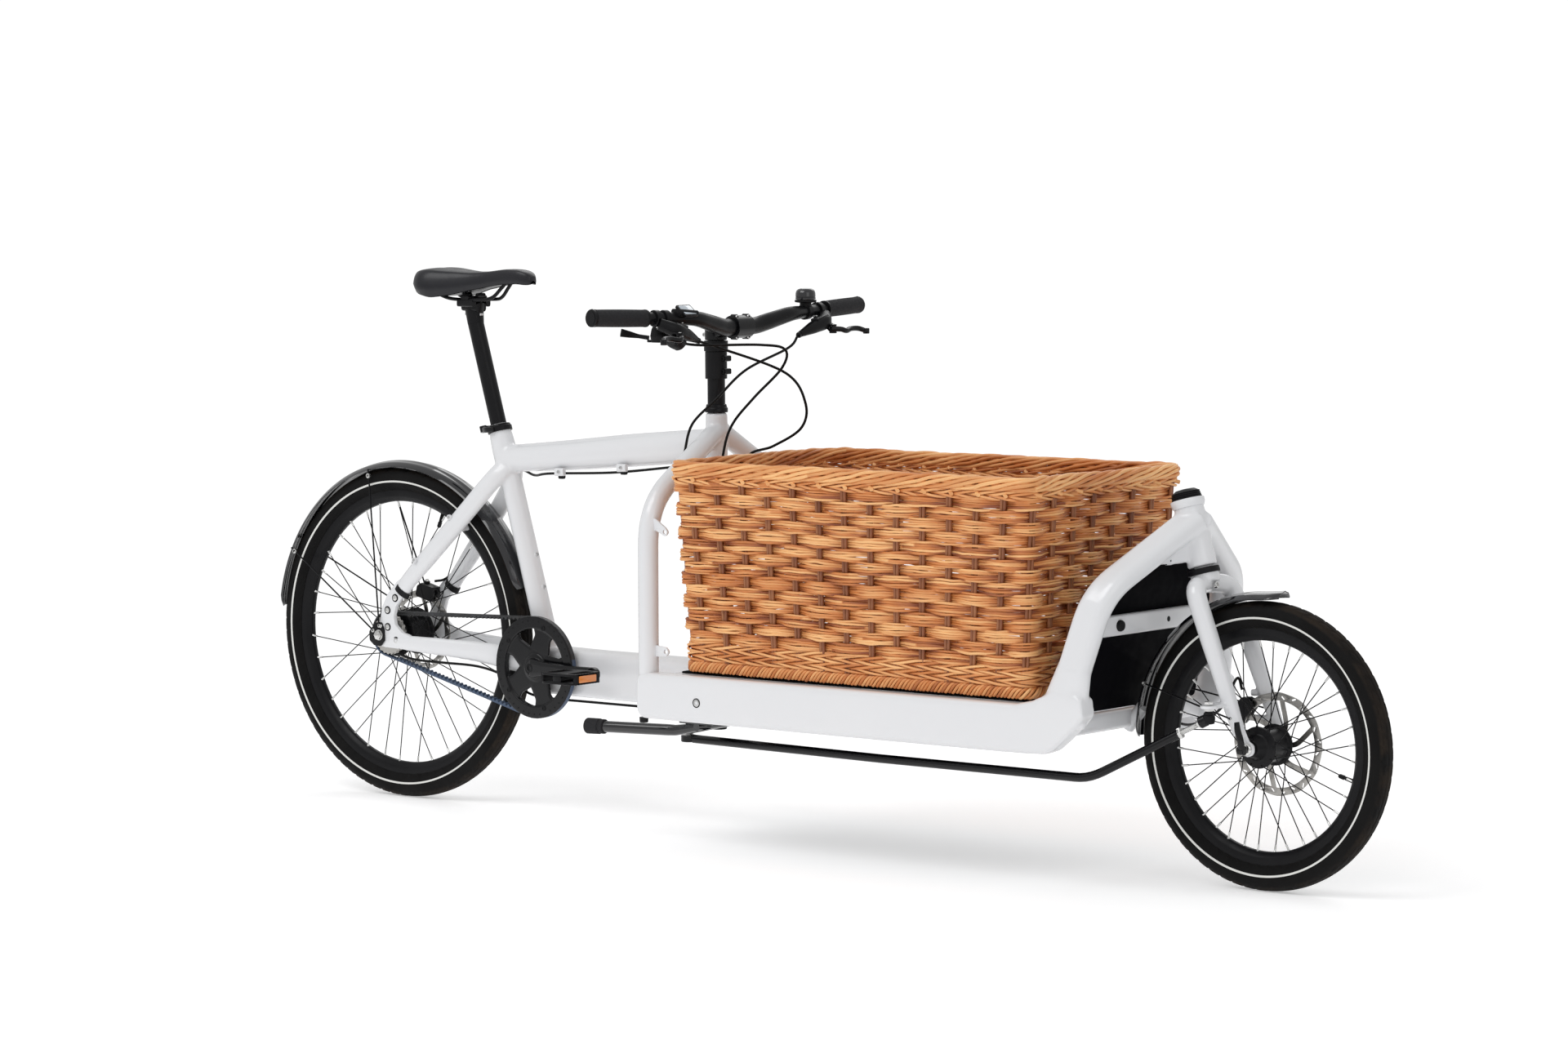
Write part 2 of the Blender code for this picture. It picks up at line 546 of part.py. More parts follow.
def make_drive():
    sprocket = [(CHAIN_Y - 0.0055, 0.0100), (CHAIN_Y - 0.0055, SPROCKET_R), (CHAIN_Y + 0.0050, SPROCKET_R),
                (CHAIN_Y + 0.0050, 0.0100)]
    place("rear_sprocket", turned(sprocket, 24, REAR_AXLE), "black_anodised", REAR_AXLE)

    clearance = 0.0008
    span = (CRANK_AXIS - REAR_AXLE).length
    tilt = atan2(CRANK_AXIS.z - REAR_AXLE.z, CRANK_AXIS.x)
    lean = asin((CHAINRING_R - SPROCKET_R) / span)
    rings = []
    for centre, radius, first, last, steps in (
            (CRANK_AXIS, CHAINRING_R, -pi / 2 - lean, pi / 2 + lean, 16),
            (REAR_AXLE, SPROCKET_R, pi / 2 + lean, 3 * pi / 2 - lean, 10)):
        inner = (radius + clearance) / cos((last - first) / steps / 2)
        section = [(-BELT_HALF_W, 0), (BELT_HALF_W, 0), (BELT_HALF_W, BELT_THICK),
                   (-BELT_HALF_W, BELT_THICK)]
        for k in range(steps + 1):
            angle = tilt + first + (last - first) * k / steps
            out = Vector((cos(angle), 0, sin(angle)))
            rings.append([centre + out * (inner + rise) + ALONG_Y * (CHAIN_Y + y) for y, rise in section])
    place("belt", skin(rings, closed=True), "rubber")

    ring_profile = [(CHAIN_Y - 0.0040, 0.0780), (CHAIN_Y - 0.0040, CHAINRING_R),
                    (CHAIN_Y + 0.0045, CHAINRING_R), (CHAIN_Y + 0.0045, 0.0780)]
    crank = place("crank_right", turned(ring_profile, 40, CRANK_AXIS), "black_anodised", CRANK_AXIS)
    boss = [(-0.0660, 0.0170), (CHAIN_Y + 0.0035, 0.0170), (CHAIN_Y + 0.0035, 0.0120), (0.0460, 0.0120)]
    combine(crank, "UNION", turned(boss, 16, CRANK_AXIS, bore=False))
    arm_sections = [rounded_box(0.006, 0.030, 0.001), rounded_box(0.006, 0.017, 0.001)]
    for k in range(SPIDER_ARMS):
        angle = 2 * pi * k / SPIDER_ARMS
        out = Vector((cos(angle), 0, sin(angle)))
        arm = [CRANK_AXIS + out * reach + ALONG_Y * (CHAIN_Y - 0.0005) for reach in (0.010, 0.0815)]
        combine(crank, "UNION", sweep(arm, arm_sections))
    crank_arm(crank, -1, 1)
    left_boss = turned([(0.0463, 0.0140), (0.0800, 0.0140)], 16, CRANK_AXIS, bore=False)
    left = place("crank_left", left_boss, "black_anodised", CRANK_AXIS)
    crank_arm(left, 1, -1)
    pedal("pedal_right", -1, 1)
    pedal("pedal_left", 1, -1)


def crank_arm(ob, sign, forward):
    start = CRANK_AXIS + Vector((0, sign * 0.0600, 0))
    middle = CRANK_AXIS + Vector((forward * CRANK_LENGTH * 0.5, sign * 0.0700, 0))
    end = CRANK_AXIS + Vector((forward * (CRANK_LENGTH + 0.012), sign * 0.0760, 0))
    sections = [rounded_box(0.013, 0.032, 0.004), rounded_box(0.014, 0.024, 0.004),
                rounded_box(0.013, 0.026, 0.004)]
    combine(ob, "UNION", sweep([start, middle, end], sections))


def pedal(name, sign, forward):
    """A platform on its spindle, level, beside the crank's end."""
    centre = CRANK_AXIS + Vector((forward * CRANK_LENGTH, sign * PEDAL_Y, 0))
    body = rounded_box(0.088, 0.082, 0.012)
    rings = [[centre + Vector((u, v, z)) for u, v in body] for z in (-0.011, 0.011)]
    ob = place(name, skin(rings), "black_plastic", centre)
    for shift in (-0.027, 0.027):
        hole = block(centre + Vector((shift - 0.0105, -0.027, -0.02)),
                     centre + Vector((shift + 0.0105, 0.027, 0.02)))
        combine(ob, "DIFFERENCE", hole)
    spindle = turned([(sign * 0.0830 - centre.y, 0.0070), (0, 0.0070)], 10, centre, bore=False)
    combine(ob, "UNION", spindle)


# ---------------------------------------------------------------- seat
def make_seat():
    head = seat_point(POST_TOP)
    shaft = sweep([seat_point(POST_BOTTOM), head], circle(SEATPOST_R, 14))
    post = place("seatpost", shaft, "black_anodised", head)
    clamp = block(head + Vector((-0.024, -0.0265, -0.012)), head + Vector((0.024, 0.0265, 0.0415)), 0.006)
    combine(post, "UNION", clamp)

    for _, sign in SIDES:
        y = sign * 0.0215
        # each rail runs from the nose socket, through the clamp, to the rear socket
        path = [(0.300, sign * 0.008, 1.0080), (0.262, sign * 0.013, 0.9860), (0.226, y, 0.9830),
                (0.150, y, 0.9855), (0.115, sign * 0.028, 1.0000), (0.085, sign * 0.036, 1.0090)]
        combine(post, "UNION", sweep(path, circle(0.0035, 8)))

    # x, half width, height of the top, and how far the side lips hang under it
    outline = [(0.347, 0.010, 1.026, 0.016), (0.338, 0.018, 1.031, 0.021), (0.305, 0.022, 1.037, 0.024),
               (0.255, 0.025, 1.036, 0.027), (0.205, 0.034, 1.035, 0.034), (0.165, 0.048, 1.039, 0.042),
               (0.125, 0.066, 1.045, 0.050), (0.095, 0.071, 1.046, 0.050), (0.078, 0.056, 1.042, 0.040)]
    rings = []
    for x, half, top, hang in outline:
        base = top - min(hang - 0.001, 0.022 if x > 0.18 else 0.029)
        lip = top - hang
        flank = [(half * 0.58, base), (half * 0.84, lip), (half * 0.97, lip + 0.004), (half, top - 0.011),
                 (half * 0.72, top)]
        section = flank + [(0, top + 0.002)] + [(-y, z) for y, z in flank[::-1]]
        rings.append([Vector((x, y, z)) for y, z in section])
    place("saddle", skin(rings), "saddle_cover", head)


# ---------------------------------------------------------------- steering
COLUMN_TOP = 0.920
ARM_Z = 0.2010
STEER_BALL = Vector((HEAD_X + ARM_FORWARD, -ARM_LENGTH, ARM_Z))
ROD_DROP = 0.0155                            # the rod's rear eye hangs this far under the arm
FORK_BALL = Vector((1.989, -0.1100, 0.3050))
CLAMP = Vector((0.862, 0, 0.946))            # middle of the handlebar
BAR_BEND = Vector((0.874, 0.135, 0.966))     # left side, where its straight outer stretch begins
BAR_END = Vector((0.837, BAR_HALF_WIDTH, 0.974))
GRIP_DIR = (BAR_END - BAR_BEND).normalized()
BRAKE_SEAT = 0.152                           # how far in from the bar's end each control sits
SHIFTER_SEAT = 0.174
BELL_SEAT = 0.196
BELL_RISE = 0.0060


def bar_path(sign):
    """Half of the handlebar, from the clamp to its end."""
    mirror = Vector((1, sign, 1))
    corners = [CLAMP, CLAMP + ALONG_Y * sign * 0.045, BAR_BEND * mirror,
               (BAR_END - GRIP_DIR * 0.002) * mirror]
    return rounded(corners, 0.12, 3)


def bar_point(distance, sign):
    """A point on the bar's straight outer stretch, so far in from its end."""
    return (BAR_END - GRIP_DIR * distance) * Vector((1, sign, 1))


def make_steering():
    axis = Vector((HEAD_X, 0, 0))
    profile = [(ARM_Z - 0.010, COLUMN_R), (0.7865, COLUMN_R), (0.7865, 0.0200), (0.800, 0.0200),
               (0.800, 0.0165), (COLUMN_TOP, 0.0165)]
    column = place("steering_column", upright(axis, profile, 16), "black_anodised", axis)
    arm = block((HEAD_X - 0.011, -ARM_LENGTH - 0.012, ARM_Z - 0.006),
                (STEER_BALL.x + 0.012, 0.013, ARM_Z + 0.006), 0.010)
    combine(column, "UNION", arm)
    combine(column, "DIFFERENCE", upright(STEER_BALL, [(-0.02, 0.0045), (0.02, 0.0045)], 10))

    collar = sweep([(HEAD_X, 0, COLUMN_TOP + GAP), (HEAD_X, 0, COLUMN_TOP + 0.022)], circle(0.0210, 14))
    clamp = place("stem", collar, "black_anodised", axis)
    neck = [(HEAD_X + 0.004, 0, COLUMN_TOP + 0.011), (CLAMP.x - 0.012, 0, CLAMP.z - 0.004)]
    combine(clamp, "UNION", sweep(neck, rounded_box(0.032, 0.020, 0.005)))
    combine(clamp, "UNION", turned([(-0.024, 0.0215), (0.024, 0.0215)], 14, CLAMP, bore=False))
    combine(clamp, "DIFFERENCE", turned([(-0.030, 0.0168), (0.030, 0.0168)], 14, CLAMP, bore=False))

    right, left = bar_path(-1), bar_path(1)
    path = right[::-1] + left[1:]
    half = [0.0159, 0.0159, 0.0157, 0.0150, 0.0138, 0.0128, 0.0120, 0.0115, 0.0111, 0.0111]
    radii = half[len(left) - 1:0:-1] + half[:len(left)]
    place("handlebar", sweep(path, [circle(r, 12) for r in radii], UP), "black_anodised", axis)

    for side, sign in SIDES:
        grip = place(f"grip_{side}", along_bar(-0.0012, 0.132, sign, 0.0160), "grip_rubber", axis)
        combine(grip, "DIFFERENCE", along_bar(0.0007, 0.140, sign, 0.0116))

        band = along_bar(BRAKE_SEAT - 0.006, BRAKE_SEAT + 0.006, sign, 0.0155)
        housing = place(f"brake_housing_{side}", band, "black_plastic", axis)
        mount = bar_point(BRAKE_SEAT, sign)
        cylinder = [mount + Vector((0.013, sign * 0.006, -0.010)),
                    mount + Vector((0.0325, sign * -0.022, -0.022)),
                    mount + Vector((0.026, sign * -0.084, -0.042))]
        sections = [rounded_box(0.018, 0.020, 0.005), rounded_box(0.022, 0.024, 0.005),
                    rounded_box(0.011, 0.011, 0.002)]
        combine(housing, "UNION", sweep(cylinder, sections, UP))
        combine(housing, "DIFFERENCE", along_bar(0.120, 0.185, sign, 0.0124))
        pivot = lever_pivot(sign)
        blade = [pivot + Vector((0, sign * -0.004, 0)), pivot + Vector((0.016, sign * 0.014, -0.002)),
                 pivot + Vector((0.011, sign * 0.042, 0.000)), pivot + Vector((0.015, sign * 0.066, -0.002)),
                 pivot + Vector((0.025, sign * 0.076, -0.001))]
        place(f"brake_lever_{side}", sweep(blade, rounded_box(0.010, 0.008, 0.002), UP),
              "black_anodised", pivot)


def along_bar(start, end, sign, radius):
    """A round bar along the handlebar's outer stretch, between two distances in from its end."""
    return sweep([bar_point(start, sign), bar_point(end, sign)], circle(radius, 12), UP)


def lever_pivot(sign):
    return bar_point(BRAKE_SEAT, sign) + Vector((0.047, sign * -0.012, -0.034))


def make_controls():
    seat = bar_point(SHIFTER_SEAT, -1)
    axis = Vector((HEAD_X, 0, 0))
    band = along_bar(SHIFTER_SEAT - 0.006, SHIFTER_SEAT + 0.006, -1, 0.0155)
    shifter = place("shifter", band, "black_plastic", axis)
    pod = [seat + Vector((-0.007, 0.000, -0.012)), seat + Vector((-0.012, 0.000, -0.046))]
    pod_sections = [rounded_box(0.014, 0.022, 0.003), rounded_box(0.014, 0.028, 0.003)]
    combine(shifter, "UNION", sweep(pod, pod_sections))
    combine(shifter, "DIFFERENCE", along_bar(0.160, 0.190, -1, 0.0124))
    thumb = shift_pivot()
    lever = [thumb + Vector((-0.006, 0, 0)), thumb + Vector((-0.024, -0.012, 0.004)),
             thumb + Vector((-0.034, -0.040, 0.010))]
    place("shift_lever", sweep(lever, rounded_box(0.006, 0.009, 0.002), UP), "black_plastic", thumb)

    base_foot = bar_point(BELL_SEAT, 1) + UP * BELL_RISE
    base = [(0, 0.0100), (0.012, 0.0100), (0.012, 0.0178), (0.0165, 0.0178)]
    # the bell's base is one solid with the bar
    combine(bpy.data.objects["handlebar"], "UNION", upright(base_foot, base, 14))
    dome_foot = base_foot + UP * (0.0165 + GAP)
    dome = [(0, 0.0165), (0.010, 0.0165), (0.015, 0.0140), (0.0175, 0.0080)]
    place("bell_dome", upright(dome_foot, dome, 14), "black_plastic", dome_foot)


def upright(foot, profile, sides):
    """A solid turned about a vertical line; the profile's points are (height, radius)."""
    rings = []
    for height, radius in profile:
        rings.append([foot + Vector((u, v, height)) for u, v in circle(radius, sides)])
    return skin(rings)


def shift_pivot():
    return bar_point(SHIFTER_SEAT, -1) + Vector((-0.033, -0.004, -0.036))


def make_tie_rod():
    """The rod under the right rail; a rod end at each end takes a ball stud."""
    stud = [(-0.0225, 0.0095), (-0.0063, 0.0095), (-0.0063, 0.0040), (0.0070, 0.0040)]
    place("tie_rod_joint", upright(STEER_BALL, stud, 12), "steel", STEER_BALL)

    eye_centre = STEER_BALL - UP * ROD_DROP
    low = eye_centre.z
    eye = hollow_tube(eye_centre - UP * 0.006, eye_centre + UP * 0.006, 0.0150, 0.0100)
    rod = place("tie_rod", eye, "black_paint", eye_centre)
    path = [Vector((STEER_BALL.x + 0.0125, STEER_BALL.y - 0.001, low)), Vector((1.30, -0.138, 0.1870)),
            Vector((1.780, -0.168, 0.1920)), Vector((1.952, -0.1225, 0.2850))]
    combine(rod, "UNION", sweep(rounded(path, 0.11, 4), circle(0.0080, 10)))
    socket = [FORK_BALL + Vector((-0.040, -0.0130, -0.0215)), FORK_BALL + Vector((-0.006, -0.0020, -0.0032))]
    combine(rod, "UNION", sweep(socket, circle(0.0105, 10)))


# ---------------------------------------------------------------- fork
def make_fork():
    crown = fork_point(0.5395)
    top = crown + FORK_DIR * 0.118
    steerer = sweep([crown, top], circle(STEERER_R, 14))
    fork = place("fork", steerer, "white_paint", fork_point(FRONT_TYRE_R))
    combine(fork, "UNION", sweep([crown - FORK_DIR * 0.006, crown + FORK_DIR * 0.0115], circle(0.0255, 14)))
    for _, sign in SIDES:
        leg = [crown + Vector((0.000, sign * 0.002, -0.001)), Vector((1.917, sign * 0.054, 0.534)),
               Vector((2.018, sign * 0.0590, 0.2740))]
        path = rounded(leg, 0.030, 3)
        radii = [0.0150] + [0.0150] * 4 + [0.0110]
        combine(fork, "UNION", sweep(path, [circle(r, 10) for r in radii], Vector((1, 0, 0.4))))
        ys = sorted((sign * 0.0520, sign * 0.0610))
        eye = [(ys[0], 0.0062), (ys[0], 0.0135), (ys[1], 0.0135), (ys[1], 0.0062)]
        combine(fork, "UNION", turned(eye, 14, FRONT_AXLE))
        tongue = [Vector((2.010, sign * 0.0575, 0.290)), Vector((2.026, sign * 0.0565, 0.2600))]
        combine(fork, "UNION", sweep(tongue, rounded_box(0.0070, 0.018, 0.002)))
    plate_z = FORK_BALL.z + 0.0195
    arm = block((1.972, -0.1250, plate_z - 0.003), (2.010, -0.0530, plate_z + 0.003), 0.010)
    combine(fork, "UNION", arm)
    stud = [FORK_BALL + Vector((0, 0, 0.0125)), FORK_BALL + Vector((0, 0, 0.0210))]
    combine(fork, "UNION", sweep(stud, circle(0.0050, 10)))
    bore = turned([(-0.07, 0.0062), (0.07, 0.0062)], 14, FRONT_AXLE, bore=False)
    combine(fork, "DIFFERENCE", bore)
    mudguard("front_mudguard", FRONT_AXLE, FRONT_GUARD_R, radians(82), radians(180), 14,
             fork_point(FRONT_TYRE_R))
    caliper("front_caliper", FRONT_AXLE, radians(142), 0.090, 0.0355, 0.0520, fork_point(FRONT_TYRE_R))

    hinge = quick_release_hinge()
    lever = [hinge, hinge + Vector((0.004, -0.008, 0.012)), hinge + Vector((-0.006, -0.006, 0.048))]
    sections = [rounded_box(0.010, 0.008, 0.002), rounded_box(0.006, 0.011, 0.002),
                rounded_box(0.004, 0.010, 0.001)]
    place("quick_release_lever", sweep(lever, sections), "black_anodised", hinge)


def quick_release_hinge():
    return FRONT_AXLE - ALONG_Y * 0.0755


# ---------------------------------------------------------------- hoses and cable
def tube_cord(name, points, spacing):
    """A hose or cable: a round tube along a smooth curve, with closed ends."""
    route = smooth_curve(points, spacing)
    curve = bpy.data.curves.new(name, "CURVE")
    curve.dimensions = "3D"
    curve.bevel_depth = HOSE_DIAMETER / 2
    curve.bevel_resolution = 2
    curve.use_fill_caps = True
    spline = curve.splines.new("POLY")
    spline.points.add(len(route) - 1)
    for spot, point in zip(spline.points, route):
        spot.co = (*point, 1)
    curve.materials.append(material("hose"))
    ob = bpy.data.objects.new(name, curve)
    bpy.context.collection.objects.link(ob)
    ob.parent = bicycle
    return ob


def make_cords():
    """Both brake hoses and the shift cable, each from its housing to its caliper or hub."""
    hose_port = Vector((0.0260, -0.0905, -0.0445))
    left_end = bar_point(BRAKE_SEAT, 1) + hose_port
    right_end = bar_point(BRAKE_SEAT, -1) + hose_port * Vector((1, -1, 1))
    rear_hose = [left_end, left_end + Vector((0.004, -0.035, -0.022)), (0.868, 0.010, 0.865),
                 (0.838, -0.040, 0.812), (0.786, -0.052, 0.766), (0.762, -0.044, 0.715),
                 (0.735, -0.024, 0.683), (0.700, -0.016, 0.6790), (0.560, -0.016, 0.6655),
                 (0.400, -0.014, 0.6530), (0.325, 0.018, 0.6480), (0.275, 0.040, 0.6550),
                 (0.240, 0.043, 0.6470), (0.171, 0.0535, 0.5710), (0.110, 0.0640, 0.5060),
                 (0.062, 0.0695, 0.4570), (0.036, 0.062, 0.4360), (0.026, 0.053, 0.4300)]
    tube_cord("rear_brake_hose", rear_hose, 0.034)
    front_hose = [right_end, right_end + Vector((0.010, 0.040, -0.012)), (0.960, 0.020, 0.860),
                  (1.010, 0.060, 0.800), (0.960, 0.064, 0.760), (0.876, 0.056, 0.732),
                  (0.851, 0.048, 0.640), (0.850, 0.045, 0.400), (0.8765, 0.060, 0.340),
                  (0.8765, 0.080, 0.300), (0.915, 0.150, 0.284), (1.000, 0.185, 0.280),
                  (1.350, 0.185, 0.280), (1.660, 0.185, 0.275), (1.730, 0.165, 0.2540),
                  (1.800, 0.125, 0.2600), (1.880, 0.085, 0.2960), (1.938, 0.050, 0.3560),
                  (1.953, 0.044, 0.3380)]
    tube_cord("front_brake_hose", front_hose, 0.046)
    cable_end = shift_pivot() + Vector((0.030, 0.022, -0.002))
    shift = [cable_end, cable_end + Vector((0.020, 0.040, -0.026)), (0.945, 0.000, 0.862),
             (0.930, 0.024, 0.810), (0.872, 0.000, 0.770), (0.845, -0.020, 0.730),
             (0.838, -0.030, 0.640), (0.836, -0.030, 0.420), (0.806, -0.041, 0.345),
             (0.796, -0.041, 0.255), (0.780, -0.0385, 0.2265), (0.755, -0.028, 0.2225),
             (0.700, -0.014, 0.2220), (0.480, -0.012, 0.2215), (0.395, -0.014, 0.2220),
             (0.345, -0.024, 0.2300), (0.312, -0.036, 0.2560), (0.240, -0.041, 0.2790),
             (0.150, -0.053, 0.2870), (0.080, -0.0610, 0.2900), (0.035, -0.0600, 0.2960)]
    tube_cord("shift_cable", shift, 0.036)


make_wheels()
make_axles()
make_main_frame()
make_rear_triangle()
make_cargo_frame()
make_basket()
mudguard("rear_mudguard", REAR_AXLE, REAR_GUARD_R, radians(18), MUDGUARD_TAIL, 20)
caliper("rear_caliper", REAR_AXLE, radians(76), 0.080, 0.0395, 0.0560)
make_stand()
make_drive()
make_seat()
make_steering()
make_controls()
make_tie_rod()
make_fork()
make_cords()
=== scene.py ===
"""Looks of the cargo bicycle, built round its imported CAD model.

Lengths are in metres. The pieces are laid out from the rear axle, as the bicycle's own drawing is:
x forward, y to the left, z up from the ground. piece() moves them into the frame's coordinates.
"""
import json
import random
from math import atan2, ceil, cos, pi, radians, sin, tan

import bmesh
import bpy
import numpy as np
from mathutils import Matrix, Vector


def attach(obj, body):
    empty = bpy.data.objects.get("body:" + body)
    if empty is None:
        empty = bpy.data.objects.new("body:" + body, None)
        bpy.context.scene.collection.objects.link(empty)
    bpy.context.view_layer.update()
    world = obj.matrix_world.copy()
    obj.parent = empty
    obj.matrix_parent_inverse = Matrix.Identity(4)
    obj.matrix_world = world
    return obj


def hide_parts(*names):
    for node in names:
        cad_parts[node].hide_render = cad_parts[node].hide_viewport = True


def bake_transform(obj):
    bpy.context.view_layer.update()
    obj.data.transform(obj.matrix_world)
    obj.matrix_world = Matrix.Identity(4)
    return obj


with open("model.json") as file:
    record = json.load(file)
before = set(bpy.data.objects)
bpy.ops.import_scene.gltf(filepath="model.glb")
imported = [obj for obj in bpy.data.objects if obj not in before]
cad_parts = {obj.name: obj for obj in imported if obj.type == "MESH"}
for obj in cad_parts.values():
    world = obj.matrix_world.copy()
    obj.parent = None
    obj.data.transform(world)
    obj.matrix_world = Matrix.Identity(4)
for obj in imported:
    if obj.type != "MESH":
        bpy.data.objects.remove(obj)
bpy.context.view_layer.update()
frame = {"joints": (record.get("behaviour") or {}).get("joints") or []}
JOINTS = {joint["name"]: joint for joint in frame["joints"]}
REAR_X = JOINTS["rear_wheel_spin"]["pos_m"][0]
SHIFT = np.array([REAR_X, 0, 0])
SIDES = (("right", -1), ("left", 1))
NEARLY_STRAIGHT = 1.55
AHEAD = np.array([1.0, 0, 0])
LEFT = np.array([0, 1.0, 0])
UP = np.array([0, 0, 1.0])


def pivot(joint):
    """Where a joint's axis is, counted from the rear axle."""
    return np.array(JOINTS[joint]["pos_m"], float) - SHIFT


# ================================================================ sections and paths
def at(x, y, z):
    """A point or a direction."""
    return np.array([x, y, z], float)


def unit(direction):
    """A direction made one long."""
    return direction / np.linalg.norm(direction)


def distances(path):
    """How far along a polyline each of its points is."""
    return np.concatenate([[0], np.cumsum(np.linalg.norm(np.diff(path, axis=0), axis=1))])


def ring(radius, sides=24):
    """A circle's points."""
    a = np.arange(sides) * 2 * pi / sides
    return np.stack([radius * np.cos(a), radius * np.sin(a)], 1)


def rounded_rect(width, height, corner, steps=4):
    """A rectangle with round corners."""
    points = []
    for quarter, (sx, sy) in enumerate(((1, 1), (-1, 1), (-1, -1), (1, -1))):
        for k in range(steps + 1):
            a = pi / 2 * (quarter + k / steps)
            points.append((sx * (width / 2 - corner) + corner * cos(a),
                           sy * (height / 2 - corner) + corner * sin(a)))
    return np.array(points)


def soften(points, radius, steps=3, closed=False):
    """Rounds the corners of a polyline of any dimension."""
    points = [np.array(p, float) for p in points]
    count = len(points)
    made = [] if closed else [points[0]]
    for i in (range(count) if closed else range(1, count - 1)):
        before, corner, after = points[i - 1], points[i], points[(i + 1) % count]
        a, b = before - corner, after - corner
        la, lb = np.linalg.norm(a), np.linalg.norm(b)
        a, b = a / la, b / lb
        half = np.arccos(np.clip(a @ b, -1, 1)) / 2
        if half > NEARLY_STRAIGHT:
            made.append(corner)
            continue
        reach = min(radius / tan(half), 0.45 * la, 0.45 * lb)
        for k in range(steps + 1):
            t = k / steps
            made.append(corner + a * reach * (1 - t) ** 2 + b * reach * t ** 2)
    if not closed:
        made.append(points[-1])
    return np.array(made)


def spline(points, step):
    """Evenly spaced points on a Catmull-Rom curve through the given ones."""
    points = np.array(points, float)
    ends = np.vstack([2 * points[0] - points[1], points, 2 * points[-1] - points[-2]])
    fine = []
    for a, b, c, d in zip(ends, ends[1:], ends[2:], ends[3:]):
        for t in np.arange(24) / 24:
            fine.append(0.5 * (2 * b + (c - a) * t + (2 * a - 5 * b + 4 * c - d) * t ** 2
                               + (3 * b - a - 3 * c + d) * t ** 3))
    return even(np.array(fine + [points[-1]]), step)


def even(path, step):
    """The same polyline with points about step apart."""
    path = np.asarray(path, float)
    along = distances(path)
    where = np.linspace(0, along[-1], max(2, int(ceil(along[-1] / step)) + 1))
    return np.stack([np.interp(where, along, path[:, k]) for k in range(3)], 1)


def graded(values, count):
    """The values of a few stations spread evenly over count points."""
    values = np.asarray(values, float)
    where = np.linspace(0, len(values) - 1, count)
    low = np.minimum(where.astype(int), len(values) - 2)
    t = (where - low).reshape((-1,) + (1,) * (values.ndim - 1))
    return values[low] * (1 - t) + values[low + 1] * t


def sweep(path, section, side=None):
    """Rings of a section, or of one section for each point, carried along a path.

    The section's first axis lies nearest to side. Without a side it turns as little as it can.
    """
    path = np.asarray(path, float)
    count = len(path)
    section = np.asarray(section, float)
    if section.ndim == 2:
        section = np.repeat(section[None], count, 0)
    tangent = np.gradient(path, axis=0)
    tangent /= np.linalg.norm(tangent, axis=1)[:, None]
    across = np.empty_like(path)
    if side is None:
        start = UP if abs(tangent[0][2]) < 0.9 else AHEAD
        last = start
        for i in range(count):
            last = last - tangent[i] * (last @ tangent[i])
            last = last / np.linalg.norm(last)
            across[i] = last
    else:
        across[:] = side - tangent * (tangent @ np.asarray(side, float))[:, None]
        across /= np.linalg.norm(across, axis=1)[:, None]
    up = np.cross(across, tangent)
    return path[:, None] + across[:, None] * section[:, :, :1] + up[:, None] * section[:, :, 1:]


def loft(path, section, sizes, side=None):
    """Rings of a section of size 1, stretched to the sizes of a few stations spread over a path."""
    return sweep(path, section[None] * graded(sizes, len(path))[:, None, :], side)


def tube(path, radius, sides=16, side=None):
    """Rings of a round tube. radius is one number, or a few stations spread over the path."""
    path = np.asarray(path, float)
    if np.ndim(radius):
        radii = graded(radius, len(path))
        return sweep(path, ring(1.0, sides)[None] * radii[:, None, None], side)
    return sweep(path, ring(radius, sides), side)


def line(*points, step=0.01, bend=0.0):
    """A path through corners, rounded by bend, with even points."""
    path = soften(points, bend, 8) if bend else np.array(points, float)
    return even(path, step)


def lathe(profile, centre, axis=LEFT, sides=48, corner=0.0, bumps=None):
    """Rings turned round an axis. The profile's points are (distance along the axis, radius)."""
    profile = np.asarray(soften(profile, corner, 2) if corner else profile, float)
    axis = unit(axis)
    start = AHEAD if abs(axis[0]) < 0.9 else UP
    u = unit(np.cross(axis, start))
    v = np.cross(axis, u)
    a = np.arange(sides) * 2 * pi / sides
    radius = profile[:, 1:2] * np.ones(sides)
    if bumps is not None:
        radius = radius * bumps(profile[:, :1], a[None])
    flat = radius[..., None] * (np.cos(a)[None, :, None] * u + np.sin(a)[None, :, None] * v)
    return np.asarray(centre, float) + axis * profile[:, None, :1] + flat


def hexagon(a):
    """How far out a hexagon's edge is at an angle, its flats at 1."""
    return 1 / np.cos((a + pi / 6) % (pi / 3) - pi / 6)


